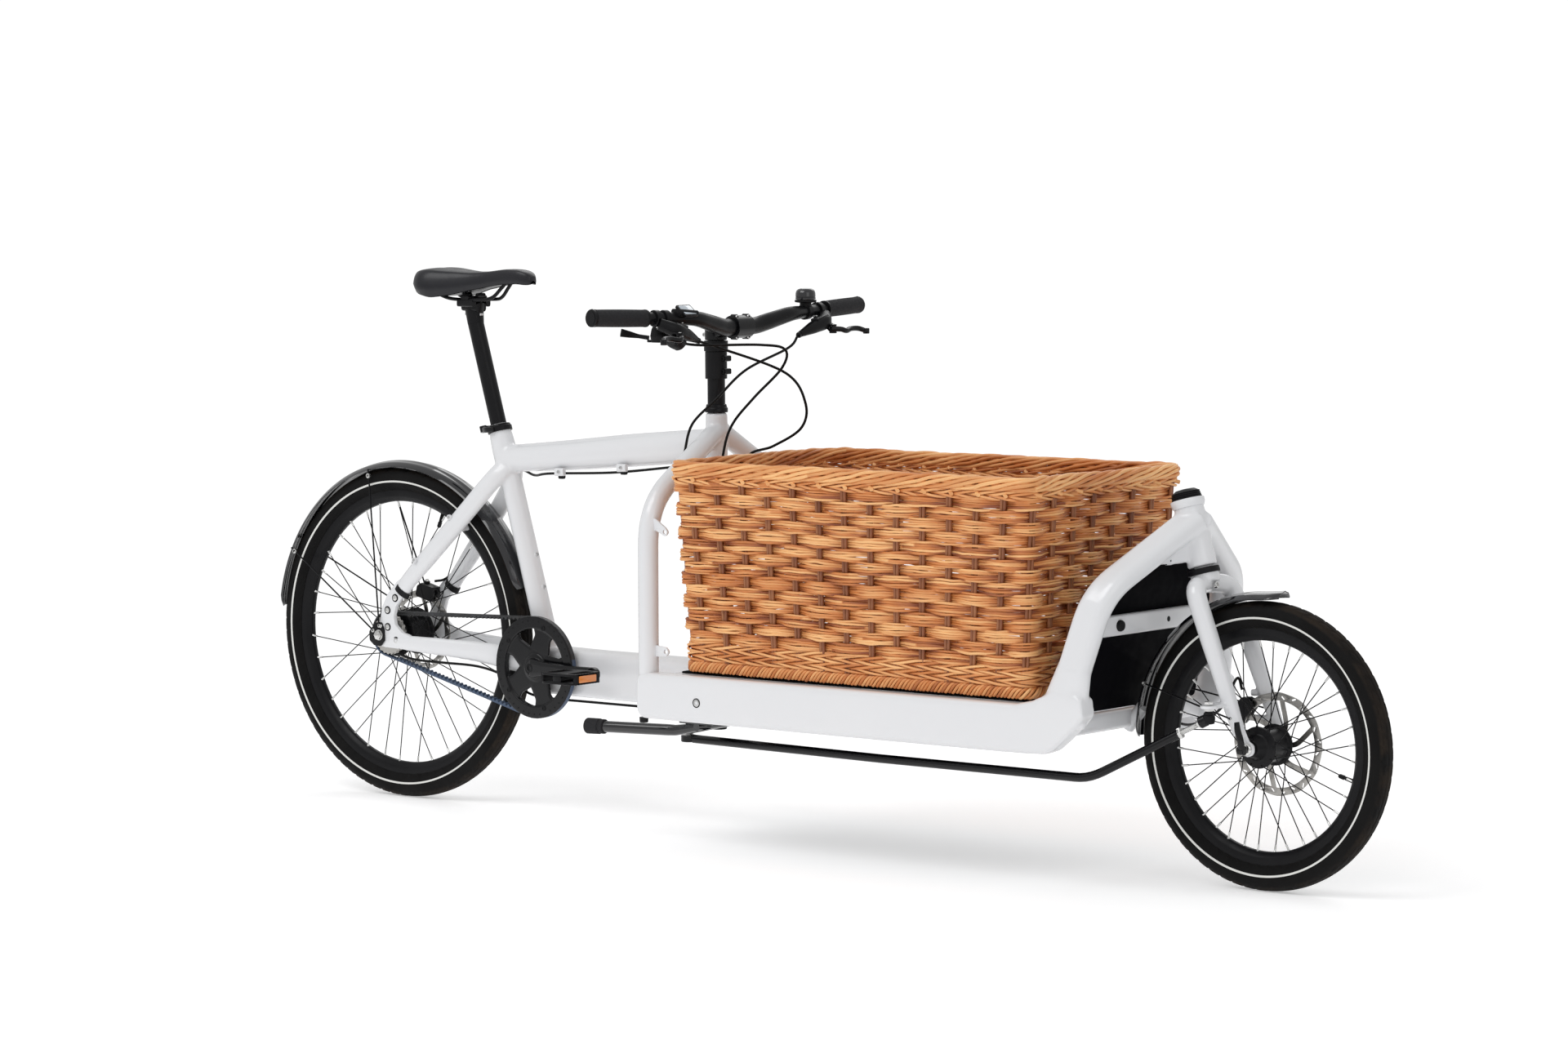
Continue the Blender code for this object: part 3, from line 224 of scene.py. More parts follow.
# ================================================================ meshes
class Shape:
    """A mesh being built. Each skin has a UV in metres, along and round, and a tone from 0 to 1."""

    def __init__(self):
        self.points = []
        self.faces = []
        self.uvs = []
        self.tones = []
        self.count = 0

    def skin(self, rings, closed=False, caps=True, tone=0.5):
        """Joins rings of equally many points into a wall; closed joins the last ring to the first."""
        rings = np.asarray(rings, float)
        count, sides = rings.shape[:2]
        middles = rings.mean(axis=1)
        steps = np.linalg.norm(np.roll(middles, -1, axis=0) - middles, axis=1)
        u = np.concatenate([[0], np.cumsum(steps)])
        edges = np.linalg.norm(np.roll(rings[0], -1, axis=0) - rings[0], axis=1)
        v = np.concatenate([[0], np.cumsum(edges)])
        rows = np.arange(count if closed else count - 1)
        i, j = [x.ravel() for x in np.meshgrid(rows, np.arange(sides), indexing="ij")]
        i2, j2 = (i + 1) % count, (j + 1) % sides
        quads = np.stack([i * sides + j, i * sides + j2, i2 * sides + j2, i2 * sides + j], 1) + self.count
        corners = np.stack([np.stack([u[i], v[j]], 1), np.stack([u[i], v[j + 1]], 1),
                            np.stack([u[i + 1], v[j + 1]], 1), np.stack([u[i + 1], v[j]], 1)], 1)
        self.faces += quads.tolist()
        self.uvs.append(corners.reshape(-1, 2))
        if caps and not closed:
            for end, order in ((0, -1), (count - 1, 1)):
                self.faces.append((np.arange(sides)[::order] + end * sides + self.count).tolist())
                self.uvs.append(np.zeros((sides, 2)))
        self.points.append(rings.reshape(-1, 3))
        self.tones.append(np.full(count * sides, tone) if np.ndim(tone) == 0 else np.repeat(tone, sides))
        self.count += count * sides
        return self

    def plate(self, outlines, thickness, centre, across, up, bevel=0.0006):
        """A flat plate with holes and softened edges: the first outline is its rim, the rest are holes."""
        curve = bpy.data.curves.new("plate", "CURVE")
        curve.dimensions = "2D"
        curve.fill_mode = "BOTH"
        curve.extrude = thickness / 2 - bevel
        curve.bevel_depth = bevel
        curve.bevel_resolution = 1
        curve.offset = -bevel
        for outline in outlines:
            run = curve.splines.new("POLY")
            run.points.add(len(outline) - 1)
            for spot, (x, y) in zip(run.points, outline):
                spot.co = (x, y, 0, 1)
            run.use_cyclic_u = True
        helper = bpy.data.objects.new("plate", curve)
        bpy.context.scene.collection.objects.link(helper)
        bpy.context.view_layer.update()
        mesh = bpy.data.meshes.new_from_object(helper.evaluated_get(bpy.context.evaluated_depsgraph_get()))
        bpy.data.objects.remove(helper)
        bm = bmesh.new()
        bm.from_mesh(mesh)
        bmesh.ops.remove_doubles(bm, verts=bm.verts, dist=1e-6)
        x_axis = unit(across)
        y_axis = unit(up - x_axis * (up @ x_axis))
        z_axis = np.cross(x_axis, y_axis)
        local = np.array([v.co for v in bm.verts]).reshape(-1, 3)
        self.points.append(np.asarray(centre, float) + local[:, :1] * x_axis + local[:, 1:2] * y_axis
                           + local[:, 2:] * z_axis)
        for face in bm.faces:
            self.faces.append([v.index + self.count for v in face.verts])
            self.uvs.append(np.array([[v.co.x, v.co.y] for v in face.verts]))
        self.tones.append(np.full(len(local), 0.5))
        self.count += len(local)
        bm.free()
        bpy.data.meshes.remove(mesh)
        bpy.data.curves.remove(curve)
        return self

    def turned(self, profile, centre, axis=LEFT, sides=48, corner=0.0, bumps=None, **joined):
        """A skin turned round an axis."""
        return self.skin(lathe(profile, centre, axis, sides, corner, bumps), **joined)

    def rod(self, start, end, radius, sides=16, side=None, step=0.01):
        """A straight round bar, of one radius or of a few spread over its length."""
        return self.skin(tube(line(start, end, step=step), radius, sides, side))

    def bar(self, start, end, section, side, step=0.01):
        """A straight bar of any section."""
        return self.skin(sweep(line(start, end, step=step), section, side))

    def ball(self, centre, radius):
        """A small ball."""
        rows = np.linspace(0.02, pi - 0.02, 9)
        return self.turned(np.stack([-radius * np.cos(rows), radius * np.sin(rows)], 1), centre, UP, 16)

    def bolt(self, centre, axis, radius, height):
        """A round cap-head bolt with a hexagonal socket, its head standing on centre along axis."""
        self.turned([(0, radius), (height, radius), (height, radius * 0.62)], centre, axis, 18,
                    corner=radius * 0.25, caps=False)
        inner = [(height, radius * 0.62), (height, radius * 0.55), (height * 0.35, radius * 0.55),
                 (height * 0.3, 0.0001)]

        def socket(along, a):
            """Round at the head's face and hexagonal below it."""
            return np.where(along > height * 0.99, 1.0, hexagon(a))

        return self.turned(inner, centre, axis, 18, bumps=socket, caps=False)

    def nut(self, centre, axis, radius, height):
        """A hexagonal nut standing on centre along axis; radius is to its flats."""
        rings = lathe([(0, radius * 0.92), (height * 0.12, radius), (height * 0.88, radius),
                       (height, radius * 0.9)], centre, axis, 24,
                      bumps=lambda along, a: np.where((along > 0) & (along < height), hexagon(a), 1.04))
        return self.skin(rings)

    def mesh(self, name):
        """The mesh, in the frame's coordinates."""
        mesh = bpy.data.meshes.new(name)
        points = np.concatenate(self.points) + SHIFT
        mesh.from_pydata(points.tolist(), [], self.faces)
        layer = mesh.uv_layers.new(name="UVMap")
        layer.data.foreach_set("uv", np.concatenate(self.uvs).ravel())
        tones = mesh.attributes.new("tone", "FLOAT", "POINT")
        tones.data.foreach_set("value", np.concatenate(self.tones).astype(np.float32))
        return mesh


SLOTS = {"white": "white_paint", "gloss_black": "gloss_black", "rim": "gloss_black",
         "plastic": "black_plastic", "window": "black_plastic", "reflector": "black_plastic",
         "panel": "panel_black", "anodised": "black_aluminium", "forged": "black_aluminium",
         "spoke": "black_aluminium", "steel": "steel", "zinc": "steel", "disc": "steel",
         "tyre": "tyre_rubber", "stripe": "tyre_rubber", "foam": "grip_rubber", "belt": "belt_rubber",
         "hose": "hose", "leather": "saddle_cover", "willow": "wicker", "stake": "wicker"}


def piece(name, shape, finish, body, replaces=(), slot=None, sharp=38, modifiers=()):
    """An object of the finished bicycle that rides on a body. Modifiers are (type, settings) pairs.

    Its slot, its finish's own unless another is given, is looked up but not given to the object.
    """
    mesh = shape.mesh(name)
    bm = bmesh.new()
    bm.from_mesh(mesh)
    bmesh.ops.recalc_face_normals(bm, faces=bm.faces)
    bm.to_mesh(mesh)
    bm.free()
    ob = bpy.data.objects.new(name, mesh)
    bpy.context.scene.collection.objects.link(ob)
    for kind, settings in modifiers:
        modifier = ob.modifiers.new(kind.lower(), kind)
        for key, value in settings.items():
            setattr(modifier, key, value)
    if modifiers:
        bpy.context.view_layer.update()
        final = bpy.data.meshes.new_from_object(ob.evaluated_get(bpy.context.evaluated_depsgraph_get()))
        ob.modifiers.clear()
        ob.data = final
        final.name = name
        bpy.data.meshes.remove(mesh)
    ob.data.shade_smooth()
    if sharp:
        ob.data.set_sharp_from_angle(angle=radians(sharp))
    ob.data.materials.clear()
    ob.data.materials.append(MATERIAL[finish])
    if body:
        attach(ob, body)
    slot = slot or SLOTS[finish]
    if replaces:
        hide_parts(*replaces)
    return ob


def welded(size, smooth):
    """Modifiers that melt overlapping solids into one skin with soft welds."""
    return (("REMESH", {"mode": "VOXEL", "voxel_size": size, "use_smooth_shade": True}),
            ("SMOOTH", {"factor": 0.5, "iterations": smooth}))


# ================================================================ materials
class Paint:
    """A Principled material under construction, with short names for the nodes it is made from."""

    def __init__(self, name, colour, roughness, metallic=0.0, **sockets):
        self.material = bpy.data.materials.new(name)
        self.material.use_nodes = True
        self.material.diffuse_color = (*colour, 1)
        self.tree = self.material.node_tree
        self.shader = self.tree.nodes["Principled BSDF"]
        self.shader.inputs["Base Color"].default_value = (*colour, 1)
        self.shader.inputs["Roughness"].default_value = roughness
        self.shader.inputs["Metallic"].default_value = metallic
        for key, value in sockets.items():
            self.shader.inputs[key.replace("_", " ")].default_value = value
        self.places = self.node("ShaderNodeTexCoord")

    def node(self, kind, **settings):
        """A new node with some of its properties set."""
        made = self.tree.nodes.new(kind)
        for key, value in settings.items():
            setattr(made, key, value)
        return made

    def wire(self, source, target):
        """A link from one node's output to another's input."""
        self.tree.links.new(source, target)

    def fill(self, socket, value):
        """Sets a socket to a number, a colour or another node's output."""
        if isinstance(value, bpy.types.NodeSocket):
            self.wire(value, socket)
        elif hasattr(value, "__len__") and len(value) == 3 and socket.type == "RGBA":
            socket.default_value = (*value, 1)
        else:
            socket.default_value = value

    def place(self, kind="Object", stretch=None):
        """Where a point is: Object in metres on the bicycle, UV in metres along and round a piece."""
        if not stretch:
            return self.places.outputs[kind]
        mapping = self.node("ShaderNodeMapping")
        mapping.inputs["Scale"].default_value = stretch
        self.wire(self.places.outputs[kind], mapping.inputs["Vector"])
        return mapping.outputs["Vector"]

    def noise(self, scale, detail=2.0, where=None, rough=0.5):
        """Cloudy noise from 0 to 1."""
        made = self.node("ShaderNodeTexNoise")
        self.wire(where or self.place(), made.inputs["Vector"])
        for key, value in (("Scale", scale), ("Detail", detail), ("Roughness", rough)):
            made.inputs[key].default_value = value
        return made.outputs["Fac"]

    def cells(self, scale):
        """The distance to the nearest of many scattered points."""
        made = self.node("ShaderNodeTexVoronoi")
        self.wire(self.place(), made.inputs["Vector"])
        made.inputs["Scale"].default_value = scale
        return made.outputs["Distance"]

    def tone(self):
        """The tone that a Shape gave to its skins."""
        return self.node("ShaderNodeAttribute", attribute_name="tone").outputs["Fac"]

    def spread(self, value, low, high, new_low=0.0, new_high=1.0):
        """A value's range moved from low-high to new_low-new_high, and cut there."""
        made = self.node("ShaderNodeMapRange", clamp=True)
        for index, number in ((1, low), (2, high), (3, new_low), (4, new_high)):
            made.inputs[index].default_value = number
        self.wire(value, made.inputs[0])
        return made.outputs[0]

    def maths(self, operation, a, b):
        """A sum on two values."""
        made = self.node("ShaderNodeMath", operation=operation)
        self.fill(made.inputs[0], a)
        self.fill(made.inputs[1], b)
        return made.outputs[0]

    def mix(self, share, a, b):
        """Colour a at share 0 and colour b at share 1."""
        made = self.node("ShaderNodeMix", data_type="RGBA")
        self.fill(made.inputs[0], share)
        self.fill(made.inputs[6], a)
        self.fill(made.inputs[7], b)
        return made.outputs[2]

    def colour(self, value):
        """Sets the base colour."""
        self.fill(self.shader.inputs["Base Color"], value)

    def rough(self, value):
        """Sets the roughness."""
        self.fill(self.shader.inputs["Roughness"], value)

    def bump(self, height, strength, distance):
        """Raises the surface by height times distance; a second call adds to the first."""
        made = self.node("ShaderNodeBump")
        made.inputs["Strength"].default_value = strength
        made.inputs["Distance"].default_value = distance
        self.wire(height, made.inputs["Height"])
        normal = self.shader.inputs["Normal"]
        if normal.is_linked:
            self.wire(normal.links[0].from_socket, made.inputs["Normal"])
        self.wire(made.outputs["Normal"], normal)


def speckled(name, colour, roughness, metallic=0.0, dust=(0.03, 0.03, 0.03), dusty=0.05, grain=700,
             depth=0.00004, change=0.08, **sockets):
    """A finish with a fine grain, faint dust and roughness that changes slowly over the surface."""
    paint = Paint(name, colour, roughness, metallic, **sockets)
    cloud = paint.noise(14, 4)
    fine = paint.noise(grain, 3)
    settled = paint.spread(cloud, 0.45, 0.8, 0, dusty * 2)
    paint.colour(paint.mix(settled, colour, dust))
    paint.rough(paint.spread(paint.noise(45, 5), 0.3, 0.7, roughness - change, roughness + change))
    paint.bump(fine, 0.5, depth)
    return paint.material


def make_materials():
    """Every finish of the bicycle, by name."""
    made = {}

    white = Paint("white_paint", (0.8, 0.81, 0.83), 0.26, Coat_Weight=0.5, Coat_Roughness=0.07)
    slow = white.noise(5, 3)
    white.colour(white.mix(white.spread(slow, 0.35, 0.7), (0.772, 0.78, 0.8), (0.784, 0.79, 0.806)))
    white.rough(white.spread(white.noise(30, 4), 0.3, 0.7, 0.24, 0.27))
    white.bump(white.noise(260, 2), 0.1, 0.00002)
    made["white"] = white.material

    metal = {"metallic": 1.0, "dust": (0.25, 0.24, 0.22), "dusty": 0.08, "grain": 1600, "depth": 0.00002}
    for name, colour, roughness, settings in (
            ("gloss_black", (0.004, 0.004, 0.006), 0.12,
             {"dust": (0.02, 0.02, 0.022), "grain": 300, "depth": 0.00002, "change": 0.04,
              "Specular_IOR_Level": 0.5, "Coat_Weight": 0.7, "Coat_Roughness": 0.03}),
            ("anodised", (0.007, 0.007, 0.008), 0.32,
             {"grain": 1500, "depth": 0.00002, "Specular_IOR_Level": 0.18}),
            ("forged", (0.004, 0.004, 0.005), 0.2,
             {"grain": 900, "depth": 0.00001, "change": 0.05, "Specular_IOR_Level": 0.2, "Coat_Weight": 0.2,
              "Coat_Roughness": 0.06}),
            ("plastic", (0.008, 0.008, 0.009), 0.46,
             {"grain": 1800, "depth": 0.00006, "Specular_IOR_Level": 0.16}),
            ("hose", (0.006, 0.006, 0.006), 0.4, {"grain": 1200, "Specular_IOR_Level": 0.15}),
            ("panel", (0.002, 0.002, 0.003), 0.7,
             {"dust": (0.006, 0.006, 0.007), "grain": 2200, "depth": 0.00008, "Specular_IOR_Level": 0.04}),
            ("spoke", (0.006, 0.006, 0.007), 0.32, {"grain": 1500, "Specular_IOR_Level": 0.15}),
            ("window", (0.5, 0.56, 0.62), 0.14,
             {"dusty": 0.02, "grain": 60, "depth": 0.000005, "change": 0.03, "Coat_Weight": 1.0,
              "Coat_Roughness": 0.03}),
            ("rim", (0.005, 0.005, 0.006), 0.36,
             {"grain": 1200, "depth": 0.00002, "Specular_IOR_Level": 0.16}),
            ("reflector", (0.85, 0.26, 0.03), 0.2,
             {"dusty": 0.04, "grain": 500, "depth": 0.0001, "Coat_Weight": 1.0, "Coat_Roughness": 0.05}),
            ("steel", (0.6, 0.6, 0.6), 0.28, metal),
            ("zinc", (0.7, 0.7, 0.69), 0.24, metal)):
        made[name] = speckled(name, colour, roughness, **settings)

    disc = Paint("disc", (0.42, 0.41, 0.39), 0.3, 1.0)
    turned = disc.noise(1, 3, disc.place("UV", (60, 3500, 1)))
    disc.colour(disc.mix(turned, (0.3, 0.29, 0.27), (0.5, 0.49, 0.47)))
    disc.rough(disc.spread(turned, 0.3, 0.7, 0.22, 0.42))
    disc.bump(turned, 0.3, 0.00003)
    made["disc"] = disc.material

    tyre = Paint("tyre_rubber", (0.006, 0.006, 0.006), 0.7, Specular_IOR_Level=0.12)
    wear = tyre.noise(26, 5)
    worn = tyre.spread(tyre.tone(), 0.55, 1.0, 0, 0.55)
    dusty = tyre.maths("MULTIPLY", tyre.spread(wear, 0.35, 0.7), worn)
    tyre.colour(tyre.mix(dusty, (0.0055, 0.0052, 0.0052), (0.04, 0.029, 0.021)))
    tyre.rough(tyre.spread(wear, 0.3, 0.7, 0.6, 0.8))
    tyre.bump(tyre.noise(900, 4), 0.6, 0.00015)
    made["tyre"] = tyre.material

    stripe = Paint("reflective_stripe", (0.8, 0.8, 0.77), 0.35)
    beads = stripe.cells(1600)
    stripe.colour(stripe.mix(beads, (0.86, 0.86, 0.84), (0.7, 0.7, 0.66)))
    stripe.bump(beads, 0.3, 0.00006)
    made["stripe"] = stripe.material

    for name, pale, mid, dark in (("willow", (0.97, 0.55, 0.23), (0.67, 0.235, 0.06), (0.28, 0.066, 0.016)),
                                  ("stake", (0.4, 0.16, 0.06), (0.28, 0.09, 0.03), (0.16, 0.045, 0.015))):
        wood = Paint(name, mid, 0.45, Coat_Weight=0.15, Coat_Roughness=0.3)
        grain = wood.noise(1, 4, wood.place("UV", (18, 900, 1)), rough=0.7)
        patch = wood.noise(9, 4)
        # For the willow, the tone attribute holds each rod's own tone plus painted shade where a rod passes
        # behind a stake or twists inwards.
        tone = wood.maths("ADD", wood.tone(), wood.spread(patch, 0.3, 0.7, -0.22, 0.22))
        light = wood.mix(wood.spread(tone, 0.35, 1.0), mid, pale)
        base = wood.mix(wood.spread(tone, 0.35, 0.0), light, dark)
        wood.colour(wood.mix(wood.spread(grain, 0.52, 0.75, 0, 0.55), base, dark))
        wood.rough(wood.spread(grain, 0.3, 0.7, 0.38, 0.58))
        wood.bump(grain, 0.6, 0.0002)
        made[name] = wood.material

    leather = Paint("saddle_cover", (0.012, 0.012, 0.015), 0.36, Specular_IOR_Level=0.35, Coat_Weight=0.15,
                    Coat_Roughness=0.15)
    pores = leather.cells(900)
    leather.colour(leather.mix(leather.noise(20, 3), (0.005, 0.005, 0.008), (0.011, 0.011, 0.015)))
    leather.rough(leather.spread(leather.noise(60, 4), 0.3, 0.7, 0.32, 0.42))
    leather.bump(pores, 0.35, 0.00018)
    leather.bump(leather.noise(90, 3), 0.2, 0.0004)
    made["leather"] = leather.material

    foam = Paint("grip_rubber", (0.018, 0.018, 0.02), 0.82, Specular_IOR_Level=0.25)
    foam.colour(foam.mix(foam.cells(1500), (0.012, 0.012, 0.013), (0.03, 0.03, 0.033)))
    foam.rough(foam.spread(foam.noise(200, 3), 0.3, 0.7, 0.75, 0.92))
    foam.bump(foam.cells(1100), 0.7, 0.0003)
    made["foam"] = foam.material

    belt = Paint("belt", (0.014, 0.014, 0.015), 0.5)
    # Painted sheen: the belt's lower run, marked by its tone, is painted lighter and bluish.
    lower_run_sheen = belt.mix(belt.tone(), (0.014, 0.014, 0.015), (0.045, 0.075, 0.135))
    belt.colour(belt.mix(belt.spread(belt.noise(60, 4), 0.45, 0.8, 0, 0.4), lower_run_sheen, (0.09, 0.1, 0.12)))
    belt.rough(belt.spread(belt.noise(90, 3), 0.3, 0.7, 0.42, 0.58))
    belt.bump(belt.noise(2500, 2), 0.5, 0.0001)
    made["belt"] = belt.material
    return made


MATERIAL = make_materials()


# ================================================================ camera, floor and light
CAMERA_AT = (5.7155, -6.954, 1.304)
CAMERA_ANGLES = (39.449, 4.556, -0.408)
LENS = 112.36
SENSOR = 36


def make_view():
    """The camera, seen from the photograph's angle; its angles are azimuth, elevation and roll."""
    azimuth, elevation, roll = [radians(angle) for angle in CAMERA_ANGLES]
    back = Vector((sin(azimuth) * cos(elevation), -cos(azimuth) * cos(elevation), sin(elevation)))
    right = Vector((cos(azimuth), sin(azimuth), 0))
    up = back.cross(right)
    rolled_right = right * cos(roll) + up * sin(roll)
    rolled_up = up * cos(roll) - right * sin(roll)
    camera = bpy.data.objects.new("camera", bpy.data.cameras.new("camera"))
    camera.data.sensor_width = SENSOR
    camera.data.lens = LENS
    camera.data.clip_end = 200
    turn = Matrix((rolled_right, rolled_up, back)).transposed().to_4x4()
    camera.matrix_world = Matrix.Translation(CAMERA_AT) @ turn
    bpy.context.scene.collection.objects.link(camera)
    bpy.context.scene.camera = camera


def make_floor():
    """A pale, faintly glowing floor that fades into the white room far from the bicycle."""
    reach, glow_strength, fade_from, fade_to = 40, 0.34, 1.7, 4.5
    mesh = bpy.data.meshes.new("floor")
    mesh.from_pydata([(-reach, -reach, 0), (reach, -reach, 0), (reach, reach, 0), (-reach, reach, 0)], [],
                     [(0, 1, 2, 3)])
    floor = bpy.data.objects.new("floor", mesh)
    bpy.context.scene.collection.objects.link(floor)
    paint = Paint("floor", (0.9, 0.9, 0.905), 0.7)
    paint.colour(paint.mix(paint.noise(3, 3), (0.895, 0.895, 0.9), (0.91, 0.91, 0.915)))
    paint.shader.inputs["Specular IOR Level"].default_value = 0.1
    glow = paint.node("ShaderNodeEmission")
    glow.inputs["Strength"].default_value = glow_strength
    lit = paint.node("ShaderNodeAddShader")
    clear = paint.node("ShaderNodeBsdfTransparent")
    fade = paint.node("ShaderNodeMixShader")
    distance = paint.node("ShaderNodeVectorMath", operation="LENGTH")
    paint.wire(paint.place(), distance.inputs[0])
    paint.wire(paint.spread(distance.outputs["Value"], fade_from, fade_to), fade.inputs[0])
    paint.wire(paint.shader.outputs[0], lit.inputs[0])
    paint.wire(glow.outputs[0], lit.inputs[1])
    paint.wire(lit.outputs[0], fade.inputs[1])
    paint.wire(clear.outputs[0], fade.inputs[2])
    paint.wire(fade.outputs[0], paint.tree.nodes["Material Output"].inputs["Surface"])
    mesh.materials.append(paint.material)


def softbox(name, place, target, size, power):
    """A rectangular lamp turned towards a target."""
    light = bpy.data.lights.new(name, "AREA")
    light.shape = "RECTANGLE"
    light.size, light.size_y = size
    light.energy = power
    ob = bpy.data.objects.new(name, light)
    ob.location = place
    ob.rotation_mode = "QUATERNION"
    ob.rotation_quaternion = (Vector(target) - Vector(place)).to_track_quat("-Z", "Y")
    bpy.context.scene.collection.objects.link(ob)


def make_light():
    """A white room, even brighter to the camera, with a softbox above and weaker ones beside and behind."""
    world = bpy.data.worlds.new("room")
    bpy.context.scene.world = world
    world.use_nodes = True
    nodes, links = world.node_tree.nodes, world.node_tree.links
    room = nodes["Background"]
    room.inputs["Strength"].default_value = 0.62
    seen = nodes.new("ShaderNodeBackground")
    seen.inputs["Strength"].default_value = 1.05
    for background in (room, seen):
        background.inputs["Color"].default_value = (1, 1, 1, 1)
    rays = nodes.new("ShaderNodeLightPath")
    choose = nodes.new("ShaderNodeMixShader")
    links.new(rays.outputs["Is Camera Ray"], choose.inputs[0])
    links.new(room.outputs[0], choose.inputs[1])
    links.new(seen.outputs[0], choose.inputs[2])
    links.new(choose.outputs[0], nodes["World Output"].inputs["Surface"])
    softbox("key", (-1.0, -3.5, 5.0), (0.1, 0, 0.4), (4.0, 3.0), 105)
    softbox("fill", (5.0, -2.0, 3.0), (0.2, 0, 0.5), (3.0, 3.0), 18)
    softbox("back", (-2.0, 4.5, 4.0), (0, 0, 0.5), (4.0, 2.0), 40)
    bpy.context.scene.view_settings.view_transform = "Standard"


make_view()
make_floor()
make_light()


# ================================================================ driving dimensions
REAR_RADIUS, REAR_BEAD = 0.3265, 0.2795
FRONT_RADIUS, FRONT_BEAD = 0.25, 0.203
REAR_AXLE = at(0, 0, REAR_RADIUS)
FRONT_AXLE = at(2.033, 0, FRONT_RADIUS)
REAR_DISC_Y, REAR_DISC_RADIUS = 0.0395, 0.08
FRONT_DISC_Y, FRONT_DISC_RADIUS = 0.0355, 0.09
CRANK_AXIS = at(0.388, 0, 0.285)
CRANK_LENGTH = 0.17
SEAT_ANGLE = radians(73.6)
SEAT_DIR = at(-cos(SEAT_ANGLE), 0, sin(SEAT_ANGLE))
FORK_LEAN = radians(15.9)
FORK_DIR = at(-sin(FORK_LEAN), 0, cos(FORK_LEAN))
ROD_FRONT = at(1.989, -0.11, 0.305)
HEAD_X = 0.805
BELT_Y = -0.048
SPOKES = 36


def seat_point(along):
    """A point on the seat tube's axis, so far up from the cranks."""
    return CRANK_AXIS + SEAT_DIR * along


def fork_point(z):
    """A point on the front steering axis, at a height."""
    return at(1.987 - (z - 0.25) * tan(FORK_LEAN), 0, z)


def around(axle, radius, angle, y=0.0):
    """A point round an axle; the angle counts up from straight ahead."""
    return axle + at(radius * cos(angle), y, radius * sin(angle))


# ================================================================ wheels
def make_tyre(name, axle, outer_r, bead_r, body):
    """A rounded carcass whose tread has a centre rib, two zigzag ribs and shoulder blocks."""
    mid = outer_r - 0.0235
    outside = [(-0.0125, bead_r + 0.001), (-0.0165, bead_r + 0.005), (-0.0215, mid - 0.01), (-0.0234, mid),
               (-0.0215, mid + 0.0095), (-0.017, mid + 0.0165), (-0.0105, mid + 0.0212), (0, mid + 0.0228)]
    half = spline([(y, r, 0) for y, r in outside], 0.0016)[:, :2]
    profile = np.vstack([half, half[-2::-1] * [-1, 1]])
    tread = np.clip((profile[:, 1] - mid - 0.01) / 0.006, 0, 1)

    def blocks(along, a):
        """How much higher or lower than its profile the tread is at a place."""
        place = np.abs(along)
        count = round(2 * pi * outer_r / 0.026)
        zig = (a * count / (2 * pi) + place * 55) % 1
        rib = (place < 0.0042) | ((place > 0.0062) & (zig > 0.24))
        groove = ((place > 0.0042) & (place < 0.0062)) | ((place > 0.0125) & (place < 0.0138))
        height = np.where(rib & ~groove, 0.0007, -0.0006)
        on_tread = np.clip((0.02 - place) / 0.002, 0, 1)
        side = np.where(place > 0.0222, 0.0, 1.0)
        return 1 + height * on_tread * side / outer_r

    shape = Shape()
    loop = np.vstack([profile, [(0.0095, bead_r + 0.002), (-0.0095, bead_r + 0.002)]])
    tones = np.concatenate([tread, [0, 0]])
    shape.turned(loop, axle, sides=720, bumps=blocks, closed=True, tone=tones)
    piece(f"{name}_tyre", shape, "tyre", body, [f"{name}_tyre"], sharp=50)
    stripes = Shape()
    for _, sign in SIDES:
        low, high = mid - 0.0062, mid - 0.0026
        edge = [(sign * 0.0229, low), (sign * 0.02345, low + 0.0006), (sign * 0.02372, high),
                (sign * 0.0225, high), (sign * 0.0215, low)]
        stripes.turned(edge, axle, sides=180, closed=True)
    piece(f"{name}_stripes", stripes, "stripe", body)


def make_rim(name, axle, bead_r, body, valve_angle):
    """A hollow rim and its valve."""
    bed = bead_r - 0.0004
    side = [(0.0105, bed + 0.0002), (0.0124, bed + 0.004), (0.0128, bed + 0.0038), (0.0128, bed - 0.009),
            (0.012, bed - 0.0115), (0.006, bed - 0.019), (0.0035, bed - 0.0205)]
    loop = side + [(-y, r) for y, r in side[::-1]] + [(-0.006, bed - 0.006), (0.006, bed - 0.006)]
    piece(f"{name}_rim", Shape().turned(loop, axle, sides=144, closed=True), "rim", body, [f"{name}_rim"])
    inward = -at(cos(valve_angle), 0, sin(valve_angle))
    foot = around(axle, bed - 0.018, valve_angle)
    valve = Shape().turned([(0, 0.0052), (0.002, 0.005), (0.003, 0.0038), (0.018, 0.0034)], foot, inward, 20)
    cap = Shape()
    cap.turned([(0.018, 0.0028), (0.021, 0.0028), (0.021, 0.004), (0.03, 0.0038), (0.032, 0.0028)], foot,
               inward, 24, bumps=lambda along, a: 1 + 0.03 * np.sign(np.sin(12 * a)))
    piece(f"{name}_valve", valve, "tyre", body)
    piece(f"{name}_valve_cap", cap, "plastic", body)


